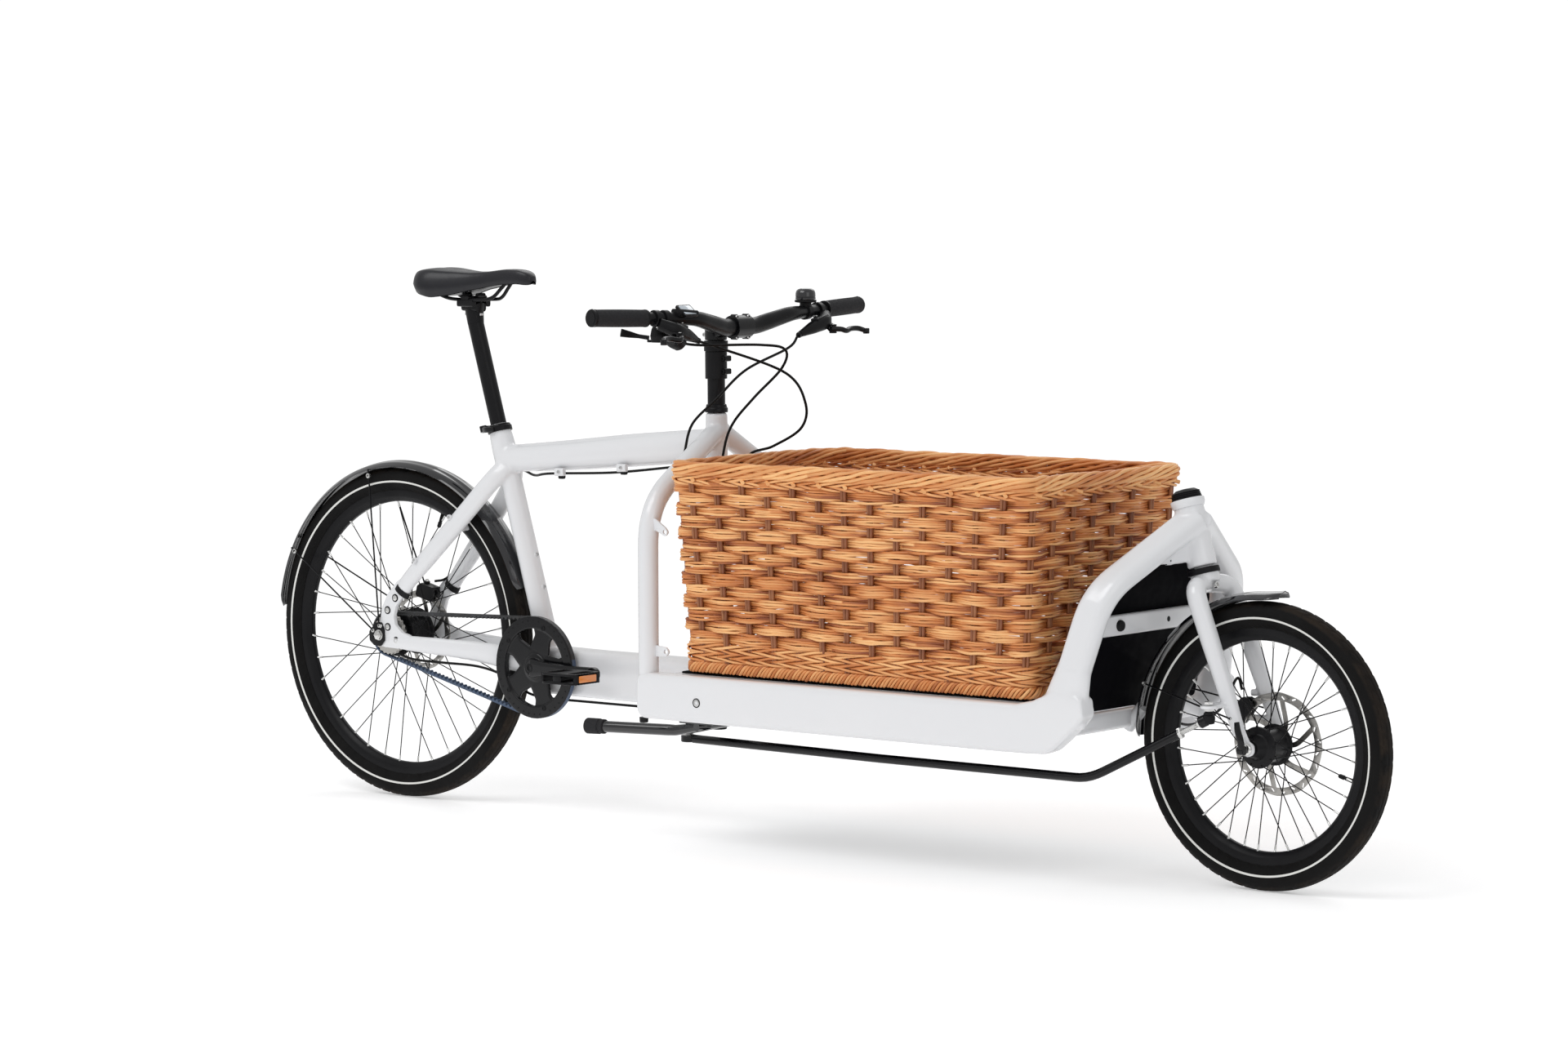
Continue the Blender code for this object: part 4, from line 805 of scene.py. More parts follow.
def make_spokes(name, axle, bead_r, flanges, crosses, body):
    """Crossed spokes with elbows, and their nipples."""
    spokes, nipples = Shape(), Shape()
    rim_r = bead_r - 0.0205
    for k in range(SPOKES):
        flange_y, flange_r = flanges[k % 2]
        outer = 1 if (k // 2) % 2 else -1
        rim_angle = 2 * pi * (k + 0.5) / SPOKES
        hub_angle = rim_angle + outer * crosses * 4 * pi / SPOKES
        lift = 0.0022 * outer * (1 if flange_y > 0 else -1)
        hole = around(axle, flange_r, hub_angle, flange_y)
        start = hole + LEFT * lift
        end = around(axle, rim_r, rim_angle, 0.0022 if flange_y > 0 else -0.0022)
        along = unit(end - start)
        elbow = line(hole - LEFT * lift * 0.9, start - along * 0.0008, end, step=0.03, bend=0.002)
        spokes.skin(tube(elbow, 0.001, 8))
        spokes.ball(hole - LEFT * lift, 0.0021)
        nipples.turned([(-0.0125, 0.0013), (-0.012, 0.0019), (-0.001, 0.002), (0.0005, 0.0032),
                        (0.003, 0.0032)], end, along, 10)
    piece(f"{name}_spokes", spokes, "spoke", body)
    piece(f"{name}_nipples", nipples, "zinc", body)


def make_rotor(name, axle, y, radius, body):
    """A slotted brake disc on swept arms, and its six bolts."""
    a = np.arange(144) * 2 * pi / 144
    rim_r = radius - 0.0006 + 0.0006 * np.cos(12 * a)
    outlines = [np.stack([rim_r * np.cos(a), rim_r * np.sin(a)], 1), ring(radius - 0.0145, 96)]
    for k in range(24):
        slot = rounded_rect(0.009, 0.003, 0.0014, 2)
        turn = 2 * pi * (k + 0.5) / 24
        lean = turn + (0.9 if k % 2 else -0.9)
        middle = (radius - 0.005 - 0.0045 * (k % 2)) * np.array([cos(turn), sin(turn)])
        spun = slot @ np.array([[cos(lean), sin(lean)], [-sin(lean), cos(lean)]])
        outlines.append(spun + middle)
    disc = Shape().plate(outlines, 0.0018, axle + LEFT * y, AHEAD, UP, bevel=0.0003)
    for k in range(6):
        turn = 2 * pi * k / 6
        bend = [around(axle, r, turn + t, y) for r, t in ((0.02, 0.0), (0.04, 0.1), (radius - 0.013, 0.42))]
        section = np.array([(0.0008, 0.0045), (-0.0008, 0.0045), (-0.0008, -0.0045), (0.0008, -0.0045)])
        disc.skin(sweep(spline(bend, 0.004), section, LEFT))
    disc.turned([(-0.0008, 0.017), (-0.0008, 0.026), (0.0008, 0.026), (0.0008, 0.017)], axle + LEFT * y,
                sides=48, closed=True)
    piece(f"{name}_disc", disc, "disc", body)
    bolts = Shape()
    for k in range(6):
        bolts.bolt(around(axle, 0.0215, 2 * pi * (k + 0.5) / 6, y + 0.0008), LEFT, 0.003, 0.0022)
    piece(f"{name}_disc_bolts", bolts, "anodised", body)


def make_wheels():
    """Both wheels with their tyres, rims, spokes, brake discs and hubs."""
    make_tyre("rear", REAR_AXLE, REAR_RADIUS, REAR_BEAD, "rear_wheel")
    make_rim("rear", REAR_AXLE, REAR_BEAD, "rear_wheel", radians(67))
    make_spokes("rear", REAR_AXLE, REAR_BEAD, ((-0.029, 0.0425), (0.028, 0.0425)), 3, "rear_wheel")
    make_rotor("rear", REAR_AXLE, REAR_DISC_Y, REAR_DISC_RADIUS, "rear_wheel")
    shell = [(-0.04, 0.0085), (-0.04, 0.02), (-0.037, 0.0225), (-0.034, 0.03), (-0.0315, 0.032),
             (-0.0312, 0.0455), (-0.03, 0.0462), (-0.028, 0.0462), (-0.0268, 0.045), (-0.0255, 0.0395),
             (-0.0225, 0.0378), (-0.006, 0.0376), (-0.0055, 0.0366), (0.004, 0.0366), (0.0045, 0.0376),
             (0.0215, 0.0378), (0.0245, 0.0395), (0.0256, 0.045), (0.027, 0.0462), (0.029, 0.0462),
             (0.0302, 0.045), (0.0315, 0.03), (0.034, 0.026), (0.0385, 0.0255), (0.0385, 0.0085)]
    piece("rear_hub_shell", Shape().turned(shell, REAR_AXLE, sides=96, corner=0.0012, closed=True),
          "anodised", "rear_wheel", ["rear_hub"])
    end = [(0.0406, 0.012), (0.0406, 0.0205), (0.043, 0.0205), (0.044, 0.019), (0.057, 0.0178),
           (0.058, 0.0165), (0.058, 0.0085)]
    piece("rear_hub_end", Shape().turned(end, REAR_AXLE, sides=64, corner=0.0006, closed=True), "anodised",
          "rear_wheel")

    make_tyre("front", FRONT_AXLE, FRONT_RADIUS, FRONT_BEAD, "front_wheel")
    make_rim("front", FRONT_AXLE, FRONT_BEAD, "front_wheel", radians(-15))
    make_spokes("front", FRONT_AXLE, FRONT_BEAD, ((-0.025, 0.0325), (0.025, 0.0325)), 2, "front_wheel")
    make_rotor("front", FRONT_AXLE, FRONT_DISC_Y, FRONT_DISC_RADIUS, "front_wheel")
    half = [(0.0195, 0.0305), (0.0222, 0.0325), (0.023, 0.0355), (0.024, 0.0362), (0.0262, 0.0362),
            (0.0272, 0.035), (0.0285, 0.024), (0.031, 0.0215), (0.0345, 0.0215)]
    shell = [(-0.046, 0.007), (-0.046, 0.013), (-0.045, 0.014)]
    shell += [(-y, r) for y, r in half[-2::-1]] + [(-0.012, 0.0292), (0.012, 0.0292)] + half
    shell += [(0.0345, 0.007)]
    piece("front_hub_shell", Shape().turned(shell, FRONT_AXLE, sides=80, corner=0.001, closed=True),
          "anodised", "front_wheel", ["front_hub"])
    end = [(0.0366, 0.0105), (0.0366, 0.0195), (0.0385, 0.0195), (0.04, 0.0165), (0.046, 0.0132),
           (0.046, 0.007)]
    piece("front_hub_end", Shape().turned(end, FRONT_AXLE, sides=48, closed=True), "anodised", "front_wheel")


def make_axles():
    """The rear axle with its washers and nuts, and the front quick release."""
    shaft = Shape().turned([(-0.0875, 0.004), (-0.087, 0.0049), (0.087, 0.0049), (0.0875, 0.004)], REAR_AXLE,
                           sides=24)
    grooves = np.arange(-0.0872, -0.082, 0.0008)
    thread = [(y, 0.005 if i % 2 else 0.0045) for i, y in enumerate(grooves)]
    shaft.turned(thread, REAR_AXLE, sides=20).turned([(-y, r) for y, r in thread], REAR_AXLE, sides=20)
    for _, sign in SIDES:
        shaft.turned([(sign * 0.0798, 0.0052), (sign * 0.0798, 0.0105), (sign * 0.0808, 0.0105),
                      (sign * 0.0808, 0.0052)], REAR_AXLE, sides=32, closed=True)
        shaft.nut(REAR_AXLE + LEFT * sign * 0.0808, LEFT * sign, 0.008, 0.005)
    piece("rear_axle_and_nuts", shaft, "zinc", "frame", ["rear_axle"])
    skewer = Shape().turned([(-0.0664, 0.0022), (0.0612, 0.0022)], FRONT_AXLE, sides=16)
    cap = [(0.0614, 0.0095), (0.0625, 0.01), (0.067, 0.0098), (0.0685, 0.0088), (0.0698, 0.0065)]
    skewer.turned(cap, FRONT_AXLE, sides=40, corner=0.0005,
                  bumps=lambda along, a: 1 + 0.02 * np.sign(np.sin(16 * a)))
    cup = [(-0.0612, 0.0108), (-0.0622, 0.0112), (-0.064, 0.011), (-0.0662, 0.0092), (-0.067, 0.006)]
    skewer.turned(cup, FRONT_AXLE, sides=40, corner=0.0005)
    piece("front_skewer", skewer, "zinc", "front_fork", ["front_axle"])


# ================================================================ frame
def make_rear_frame():
    """Seat tube, top tube, head tube, beam and stays, welded into one casting-like skin."""
    shape = Shape()
    shape.rod(seat_point(0.0), seat_point(0.4795), [0.0215, 0.0212, 0.021, 0.0212], 32, step=0.02)
    top_path = spline([(0.272, 0, 0.6805), (0.318, 0, 0.6825), (0.45, 0, 0.693), (0.6, 0, 0.707),
                       (0.72, 0, 0.7175), (0.803, 0, 0.725)], 0.02)
    circle = ring(0.5, 32)
    shape.skin(loft(top_path, circle, [(0.046, 0.052), (0.049, 0.056), (0.051, 0.06), (0.051, 0.063),
                                       (0.046, 0.063), (0.039, 0.062)], LEFT))
    shape.rod(at(HEAD_X, 0, 0.3202), at(HEAD_X, 0, 0.785), 0.0205, 32, step=0.02)
    box = rounded_rect(0.068, 0.0895, 0.014, 4)
    shape.skin(sweep(line(at(0.362, 0, 0.277), at(0.5, 0, 0.275), at(0.87, 0, 0.2749), step=0.03), box, LEFT))
    shape.turned([(-0.0362, 0.0262), (0.0362, 0.0262)], CRANK_AXIS, sides=40)
    cross = rounded_rect(0.04, 0.078, 0.012, 4)
    shape.bar(at(0.852, -0.2, 0.276), at(0.852, 0.2, 0.276), cross, AHEAD, step=0.03)
    for _, sign in SIDES:
        stay = spline([(0.06, sign * 0.0705, 0.418), (0.078, sign * 0.0695, 0.441),
                       (0.187, sign * 0.05, 0.5545), (0.262, sign * 0.03, 0.638), (0.288, 0, 0.676)], 0.01)
        shape.skin(loft(stay, circle, [(0.02, 0.034), (0.023, 0.039), (0.024, 0.04), (0.025, 0.04),
                                       (0.026, 0.04)], LEFT))
        low = spline([(0.02, sign * 0.0715, 0.3205), (0.045, sign * 0.0715, 0.3155),
                      (0.1, sign * 0.069, 0.313), (0.23, sign * 0.041, 0.3045), (0.352, sign * 0.0273, 0.29),
                      (0.38, sign * 0.024, 0.287)], 0.01)
        shape.skin(loft(low, circle, [(0.011, 0.028), (0.015, 0.033), (0.019, 0.036), (0.021, 0.042),
                                      (0.02, 0.048), (0.018, 0.05)], LEFT))
        hoop = line(at(0.818, sign * 0.214, 0.3), at(0.818, sign * 0.212, 0.625), at(0.808, 0, 0.754),
                    step=0.012, bend=0.13)
        shape.skin(tube(hoop, 0.019, 28, AHEAD))
    seat_lug = line(seat_point(0.375), seat_point(0.458), step=0.01)
    shape.skin(tube(seat_lug, [0.0212, 0.0232, 0.0236, 0.0222], 32))
    cuts = [Shape().rod(seat_point(0.215), seat_point(0.5), 0.0163, 32), Shape().rod(at(HEAD_X, 0, 0.2),
            at(HEAD_X, 0, 0.8), 0.017, 32), Shape().turned([(-0.05, 0.0155), (0.05, 0.0155)], CRANK_AXIS,
            sides=32)]
    nodes = ["seat_tube", "top_tube", "rear_head_tube", "main_beam"]
    nodes += [f"{part}_{side}" for part in ("seatstay", "chainstay", "rear_hoop") for side, _ in SIDES]
    carve("rear_frame", shape, cuts, "frame", nodes)


def slab(shape, corners, thickness, across, radius=0.006):
    """A plate whose corners stand in space; it is thick along across."""
    across = unit(across)
    outline = soften(corners, radius, 4, closed=True)
    bevel = 0.0007
    middle = outline.mean(axis=0)
    inner = middle + (outline - middle) * (1 - bevel / np.linalg.norm(outline - middle, axis=1))[:, None]
    half = across * thickness / 2
    return shape.skin(np.array([inner - half, outline - half * 0.7, outline + half * 0.7, inner + half]))


def rail_rings(sign):
    """A box-section rail, raked at its front end and closed at its rear end."""
    y = sign * 0.215
    stations = [(0.8045, 0.252, 0.8045, 0.303), (0.807, 0.242, 0.806, 0.312), (0.817, 0.2345, 0.812, 0.3195),
                (0.9, 0.234, 0.9, 0.32), (1.64, 0.234, 1.668, 0.32), (1.69, 0.2345, 1.703, 0.3275),
                (1.728, 0.236, 1.728, 0.338), (1.746, 0.2425, 1.745, 0.3455), (1.768, 0.26, 1.765, 0.348),
                (1.788, 0.278, 1.785, 0.3475), (1.803, 0.2925, 1.799, 0.343), (1.814, 0.305, 1.81, 0.336)]
    rings = []
    for low_x, low_z, high_x, high_z in stations:
        low, high = at(low_x, y, low_z), at(high_x, y, high_z)
        depth = np.linalg.norm(high - low)
        up = (high - low) / depth
        outline = rounded_rect(0.0398, depth, min(0.008, depth / 2.5), 3)
        rings.append((low + high) / 2 + LEFT * outline[:, :1] + up * outline[:, 1:])
    return np.array(rings)


def make_front_frame():
    """The two rails, their risers, the front head tube and the cross tubes between them."""
    shape = Shape()
    for _, sign in SIDES:
        shape.skin(rail_rings(sign))
        riser = line(at(1.763, sign * 0.215, 0.318), at(1.784, sign * 0.212, 0.39),
                     at(1.822, sign * 0.198, 0.515), at(1.884, 0, 0.634), step=0.012, bend=0.11)
        section = rounded_rect(0.062, 0.037, 0.0165, 5)
        shape.skin(sweep(riser, section, AHEAD))
        foot = line(at(1.757, sign * 0.215, 0.296), at(1.784, sign * 0.214, 0.388), step=0.01)
        flare = [(0.1, 0.039), (0.084, 0.039), (0.066, 0.038)]
        shape.skin(loft(foot, ring(0.5, 32), flare, AHEAD))
    top, bottom = fork_point(0.657), fork_point(0.552)
    shape.rod(bottom, top, [0.0262, 0.0256, 0.0256, 0.0262], 40, step=0.012)
    for _, sign in SIDES:
        web = [at(1.848, sign * 0.118, 0.56), at(1.874, sign * 0.04, 0.612), at(1.89, sign * 0.016, 0.6),
               at(1.893, sign * 0.018, 0.562), at(1.866, sign * 0.05, 0.556)]
        slab(shape, web, 0.01, at(0.9, sign * 0.3, 0.28), 0.008)
    shape.bar(at(1.744, -0.205, 0.28), at(1.744, 0.205, 0.28), rounded_rect(0.027, 0.035, 0.01, 4), AHEAD,
              step=0.03)
    cuts = [Shape().rod(bottom - FORK_DIR * 0.03, top + FORK_DIR * 0.05, 0.0182, 32)]
    nodes = ["front_head_tube", "front_cross_tube"]
    nodes += [f"{part}_{side}" for part in ("side_rail", "front_riser") for side, _ in SIDES]
    carve("front_frame", shape, cuts, "frame", nodes)


def carve(name, shape, cuts, body, nodes, size=0.0026, smooth=14, finish="white"):
    """Welds a shape into one skin and cuts bores into it."""
    helpers = []
    modifiers = list(welded(size, smooth))
    for cut in cuts:
        helper = bpy.data.objects.new("bore", cut.mesh("bore"))
        bpy.context.scene.collection.objects.link(helper)
        helpers.append(helper)
        modifiers.append(("BOOLEAN", {"operation": "DIFFERENCE", "object": helper, "solver": "EXACT"}))
    piece(name, shape, finish, body, nodes, modifiers=modifiers)
    for helper in helpers:
        mesh = helper.data
        bpy.data.objects.remove(helper)
        bpy.data.meshes.remove(mesh)


make_wheels()
make_axles()
make_rear_frame()
make_front_frame()


# ================================================================ basket
BASKET_FOOT = 0.324
BASKET_RIM = 0.7116
BASKET_MIDDLE = at(1.2915, 0, 0)
BASKET_FLOOR = 0.338
WALL_INSET = 0.0108
RIM_DROP = 0.0142
STAKES = 42
BANDS = 14
RODS_IN_BAND = 5


def basket_line(z, inset, count):
    """Points round the basket at a height, inset from its outside, and the way out at each."""
    flare = 0.016 * (z - 0.32) / 0.388
    half_x, half_y = 0.3985 + flare - inset, 0.215 + flare * 1.5 - inset
    corner = max(0.034 - inset, 0.012)
    outline = rounded_rect(2 * half_x, 2 * half_y, corner, 10)
    loop = np.vstack([outline, outline[:1]])
    along = distances(loop)
    where = np.linspace(0, along[-1], count, endpoint=False)
    flat = np.stack([np.interp(where, along, loop[:, k]) for k in (0, 1)], 1)
    ahead = np.roll(flat, -1, axis=0) - np.roll(flat, 1, axis=0)
    out = np.stack([ahead[:, 1], -ahead[:, 0]], 1) / np.linalg.norm(ahead, axis=1)[:, None]
    points = np.column_stack([flat, np.full(count, z)]) + BASKET_MIDDLE
    return points, np.column_stack([out, np.zeros(count)])


def band(z, inset, shift_out, shift_up, radius, shape, tones, count, sides=6):
    """One rod round the basket, moved outwards and upwards by an amount at each point."""
    points, out = basket_line(z, inset, count)
    path = points + out * shift_out[:, None] + UP * shift_up[:, None]
    ahead = np.roll(path, -1, axis=0) - np.roll(path, 1, axis=0)
    ahead /= np.linalg.norm(ahead, axis=1)[:, None]
    across = out - ahead * (out * ahead).sum(axis=1)[:, None]
    across /= np.linalg.norm(across, axis=1)[:, None]
    up = np.cross(across, ahead)
    section = ring(1.0, sides)
    rings = path[:, None] + (across[:, None] * section[None, :, :1] + up[:, None] * section[None, :, 1:]) \
        * np.asarray(radius)[:, None, None]
    shape.skin(rings, closed=True, tone=tones)


def rod_tones(rng, count, centre=0.5, spread=0.28):
    """Tones along a band made of several rods, one after the other."""
    tones = np.empty(count)
    start = 0
    while start < count:
        length = int(rng.uniform(0.18, 0.45) * count)
        tones[start:start + length] = rng.uniform(centre - spread, centre + spread)
        start += length
    return np.roll(tones, rng.randrange(count))


def slow_noise(rng, count, knots):
    """A smooth closed run of random numbers from -1 to 1."""
    values = np.array([rng.uniform(-1, 1) for _ in range(knots)])
    where = np.arange(count) / count * knots
    low = where.astype(int) % knots
    t = where % 1
    t = t * t * (3 - 2 * t)
    return values[low] * (1 - t) + values[(low + 1) % knots] * t


def make_walls():
    """Bands of rods that pass in front of and behind the stakes by turns.

    In front of a stake a band spreads and bulges; behind the next one it is squeezed.
    """
    rng = random.Random(11)
    count = 504
    where = np.arange(count) / count
    low, high = BASKET_FOOT + 0.056, BASKET_RIM - 0.037
    pitch = (high - low) / BANDS
    parts = {"low": Shape(), "middle": Shape(), "high": Shape()}
    shared = 0.0026 * slow_noise(rng, count, 15)
    for number in range(BANDS):
        name = ("low", "middle", "high")[min(2, number * 3 // BANDS)]
        wave = np.cos(pi * STAKES * where + pi * (number % 2))
        swell = 0.5 + 0.5 * wave
        drift = shared + 0.0009 * slow_noise(rng, count, 13)
        for k in range(RODS_IN_BAND):
            lane = (k - 2) / RODS_IN_BAND * pitch * (1.0 + 0.1 * swell)
            own = 0.0011 * slow_noise(rng, count, 47) + 0.0008 * slow_noise(rng, count, 120)
            depth = 0.0009 * slow_noise(rng, count, 40) + 0.0006 * (k % 2)
            radius = 0.00242 + 0.0003 * slow_noise(rng, count, 17) + rng.uniform(-2.5e-4, 2.5e-4)
            out = np.where(wave > 0, 0.0056, 0.0062) * wave + depth
            # Painted shade: each rod's tone drops where the wave takes it behind a stake and rises where it
            # bulges out in front of one.
            tones = np.clip(rod_tones(rng, count, 0.5, 0.46) + 0.15 * wave, 0, 1)
            band(low + pitch * (number + 0.5), WALL_INSET, np.minimum(out, 0.008), lane + drift + own, radius,
                 parts[name], tones, count)
    nodes = ["basket"]
    for name, shape in parts.items():
        piece(f"basket_weave_{name}", shape, "willow", "frame", nodes, sharp=0)
        nodes = []


def make_stakes():
    """The upright stakes, two thin rods side by side, with their cut ends under the rim."""
    rng = random.Random(5)
    stakes, ends = Shape(), Shape()
    fine = STAKES * 8
    for k in range(STAKES):
        heights = np.linspace(BASKET_FOOT + 0.012, BASKET_RIM - 0.014, 22)
        for half in (-1, 1):
            path = []
            for z in heights:
                points, out = basket_line(z, WALL_INSET, fine)
                along = np.cross(UP, out[k * 8])
                path.append(points[k * 8] + along * (half * 0.003 + rng.uniform(-5e-4, 5e-4)))
            stakes.skin(tube(np.array(path), 0.0032, 8, AHEAD + LEFT), tone=rng.uniform(0.2, 0.8))
        points, out = basket_line(BASKET_RIM - 0.036, WALL_INSET, fine)
        along = np.cross(UP, out[k * 8])
        base = points[k * 8] - out[k * 8] * 0.004 - along * 0.004
        tip = base + out[k * 8] * 0.0135 + along * 0.016 + UP * 0.002
        ends.skin(tube(line(base + UP * 0.008, tip, step=0.004), 0.0036, 10), tone=rng.uniform(0.6, 1))
    piece("basket_stakes", stakes, "stake", "frame", sharp=0)
    piece("basket_cut_ends", ends, "willow", "frame")


def twisted(shape, rng, z, inset, strands, turns, reach, height, radius, count, centre=0.5, rough=0.0006):
    """Rods twisted round each other all the way round the basket."""
    where = np.arange(count) / count
    for k in range(strands):
        phase = 2 * pi * (turns * where + k / strands)
        shift_out = reach * np.cos(phase) + rough * slow_noise(rng, count, 61)
        shift_up = height * np.sin(phase) + rough * slow_noise(rng, count, 83)
        size = radius * (1 + 0.1 * slow_noise(rng, count, 53))
        # Painted shade: a strand's tone is lower where its twist turns it inwards and higher where it comes
        # outwards.
        tones = np.clip(rod_tones(rng, count, centre) + 0.12 * np.cos(phase), 0, 1)
        band(z, inset, shift_out, shift_up, size, shape, tones, count, 8)


def make_borders():
    """The plaited rim, the twisted rows above the foot, and the foot's rolled border."""
    rng = random.Random(23)
    count = 1080
    rim, foot, rows = Shape(), Shape(), Shape()
    twisted(rim, rng, BASKET_RIM - RIM_DROP, 0.0105, 8, 8, 0.0058, 0.0106, 0.0034, count, 0.62, 0.0014)
    twisted(rim, rng, BASKET_RIM - RIM_DROP, 0.0105, 5, -6, 0.0026, 0.007, 0.0034, count, 0.4, 0.001)
    twisted(foot, rng, BASKET_FOOT + 0.0112, 0.0095, 5, 58, 0.0042, 0.008, 0.0028, count, 0.45, 0.0008)
    for row in range(4):
        z = BASKET_FOOT + 0.027 + 0.0078 * row
        twisted(rows, rng, z, 0.01, 3, 17 * (1 if row % 2 else -1), 0.004, 0.0038, 0.0024, count, 0.55)
    for drop, turns in ((0.03, 21), (0.0375, -21)):
        twisted(rows, rng, BASKET_RIM - drop, 0.0104, 3, turns, 0.0044, 0.0034, 0.0024, count, 0.5)
    piece("basket_rim", rim, "willow", "frame", sharp=0)
    piece("basket_foot", foot, "willow", "frame", sharp=0)
    piece("basket_rows", rows, "willow", "frame", sharp=0)


def make_basket_floor():
    """Rods woven across long sticks, just above the basket's foot."""
    rng = random.Random(3)
    shape = Shape()
    for k in range(9):
        y = (k - 4) * 0.044
        shape.skin(tube(line(at(0.905, y, BASKET_FLOOR), at(1.678, y, BASKET_FLOOR), step=0.04), 0.0045, 8),
                   tone=rng.uniform(0.2, 0.5))
    for k in range(132):
        x = 0.912 + k * 0.00575
        ys = np.linspace(-0.196, 0.196, 50)
        z = BASKET_FLOOR + 0.0068 * np.cos(pi * ys / 0.044 + pi * (k % 2))
        shape.skin(tube(np.stack([np.full(50, x), ys, z], 1), 0.0026, 6), tone=rng.uniform(0.2, 0.8))
    piece("basket_floor", shape, "willow", "frame", sharp=0)


def make_basket():
    """The whole wicker basket."""
    make_walls()
    make_stakes()
    make_borders()
    make_basket_floor()


# ================================================================ parts bolted to the frame
def make_seat_clamp():
    """The black quick-release collar at the seat tube's top, and its lever curled round the right side."""
    low = seat_point(0.464)
    collar, lever = Shape(), Shape()
    collar.turned([(0.014, 0.0163), (0, 0.0163), (0, 0.0222), (0.0004, 0.0242), (0.0095, 0.0242),
                   (0.0105, 0.0228), (0.0136, 0.022), (0.014, 0.0212)], low, SEAT_DIR, 48, closed=True)
    back = seat_point(0.4695) - AHEAD * 0.0285
    for _, sign in SIDES:
        lug = line(back + LEFT * sign * 0.002, back + LEFT * sign * 0.0085, step=0.002)
        collar.skin(sweep(lug, rounded_rect(0.012, 0.014, 0.004), SEAT_DIR))
    collar.rod(back - LEFT * 0.013, back + LEFT * 0.013, 0.0028, 16, step=0.003)
    collar.nut(back + LEFT * 0.009, LEFT, 0.0062, 0.005)
    piece("seat_clamp", collar, "anodised", "frame")
    route = spline([back + at(-0.005, -0.012, -0.002), back + at(0.004, -0.0185, -0.001),
                    back + at(0.018, -0.0265, 0.0), back + at(0.036, -0.028, 0.001)], 0.002)
    sizes = [(0.012, 0.008), (0.012, 0.006), (0.011, 0.0045), (0.009, 0.004)]
    lever.skin(loft(route, rounded_rect(1, 1, 0.35), sizes, SEAT_DIR))
    lever.turned([(-0.006, 0.007), (0.006, 0.007)], back - LEFT * 0.0125 - at(0.003, 0, 0), SEAT_DIR, 28)
    piece("seat_clamp_lever", lever, "forged", "frame")


def make_dropouts():
    """Cast dropouts with their sliding plates and socket bolts, the stay bridges and a bolt."""
    cast, plates, bolts = Shape(), Shape(), Shape()
    outline = [(-0.017, -0.013), (-0.016, 0.01), (0.0, 0.03), (0.004, 0.054), (0.02, 0.082), (0.046, 0.108),
               (0.062, 0.118), (0.082, 0.104), (0.066, 0.082), (0.044, 0.06), (0.037, 0.04), (0.04, 0.022),
               (0.058, 0.008), (0.08, 0.003), (0.082, -0.02), (0.046, -0.025), (0.012, -0.024),
               (-0.008, -0.021)]
    smooth = soften(outline, 0.01, 5, closed=True)
    slider = soften([(-0.026, -0.012), (-0.027, 0.006), (-0.01, 0.024), (0.006, 0.026), (0.013, 0.012),
                     (0.014, -0.01), (0.004, -0.022), (-0.014, -0.021)], 0.007, 5, closed=True)
    for _, sign in SIDES:
        out = LEFT * sign
        cast.plate([smooth, ring(0.0105, 40)], 0.01, REAR_AXLE + at(0, sign * 0.071, 0), AHEAD, UP,
                   bevel=0.0024)
        plates.plate([slider, ring(0.0062, 32)], 0.0034, REAR_AXLE + at(0, sign * 0.0779, 0), AHEAD, UP)
        for bx, bz in ((0.062, 0.102), (0.042, 0.075), (0.021, 0.05), (0.021, 0.017), (0.043, -0.009)):
            bolts.bolt(REAR_AXLE + at(bx, sign * 0.0752, bz), out, 0.0056, 0.0026)
            plates.turned([(0, 0.0052), (0, 0.0078), (0.0009, 0.0078), (0.0009, 0.0052)],
                          REAR_AXLE + at(bx, sign * 0.0759, bz), out, 32, closed=True)
        for bx, bz in ((-0.016, 0.008), (0.006, 0.018)):
            bolts.bolt(REAR_AXLE + at(bx, sign * 0.0794, bz), out, 0.0034, 0.0022)
        joint = line(at(0.055, sign * 0.0708, 0.411), at(0.0615, sign * 0.0704, 0.42), step=0.003)
        plates.skin(sweep(joint, ring(0.5, 28) * [0.0215, 0.0375], LEFT))
    cast.rod(at(0.176, -0.05, 0.545), at(0.176, 0.05, 0.545), 0.0095, 24, step=0.01)
    cast.rod(at(0.296, -0.04, 0.298), at(0.296, 0.04, 0.298), 0.01, 24, step=0.01)
    bolts.bolt(at(0.168, 0, 0.545), at(-0.9, 0, 0.3), 0.0055, 0.004)
    piece("dropouts", cast, "white", "frame")
    piece("dropout_plates", plates, "anodised", "frame")
    piece("dropout_bolts", bolts, "zinc", "frame")


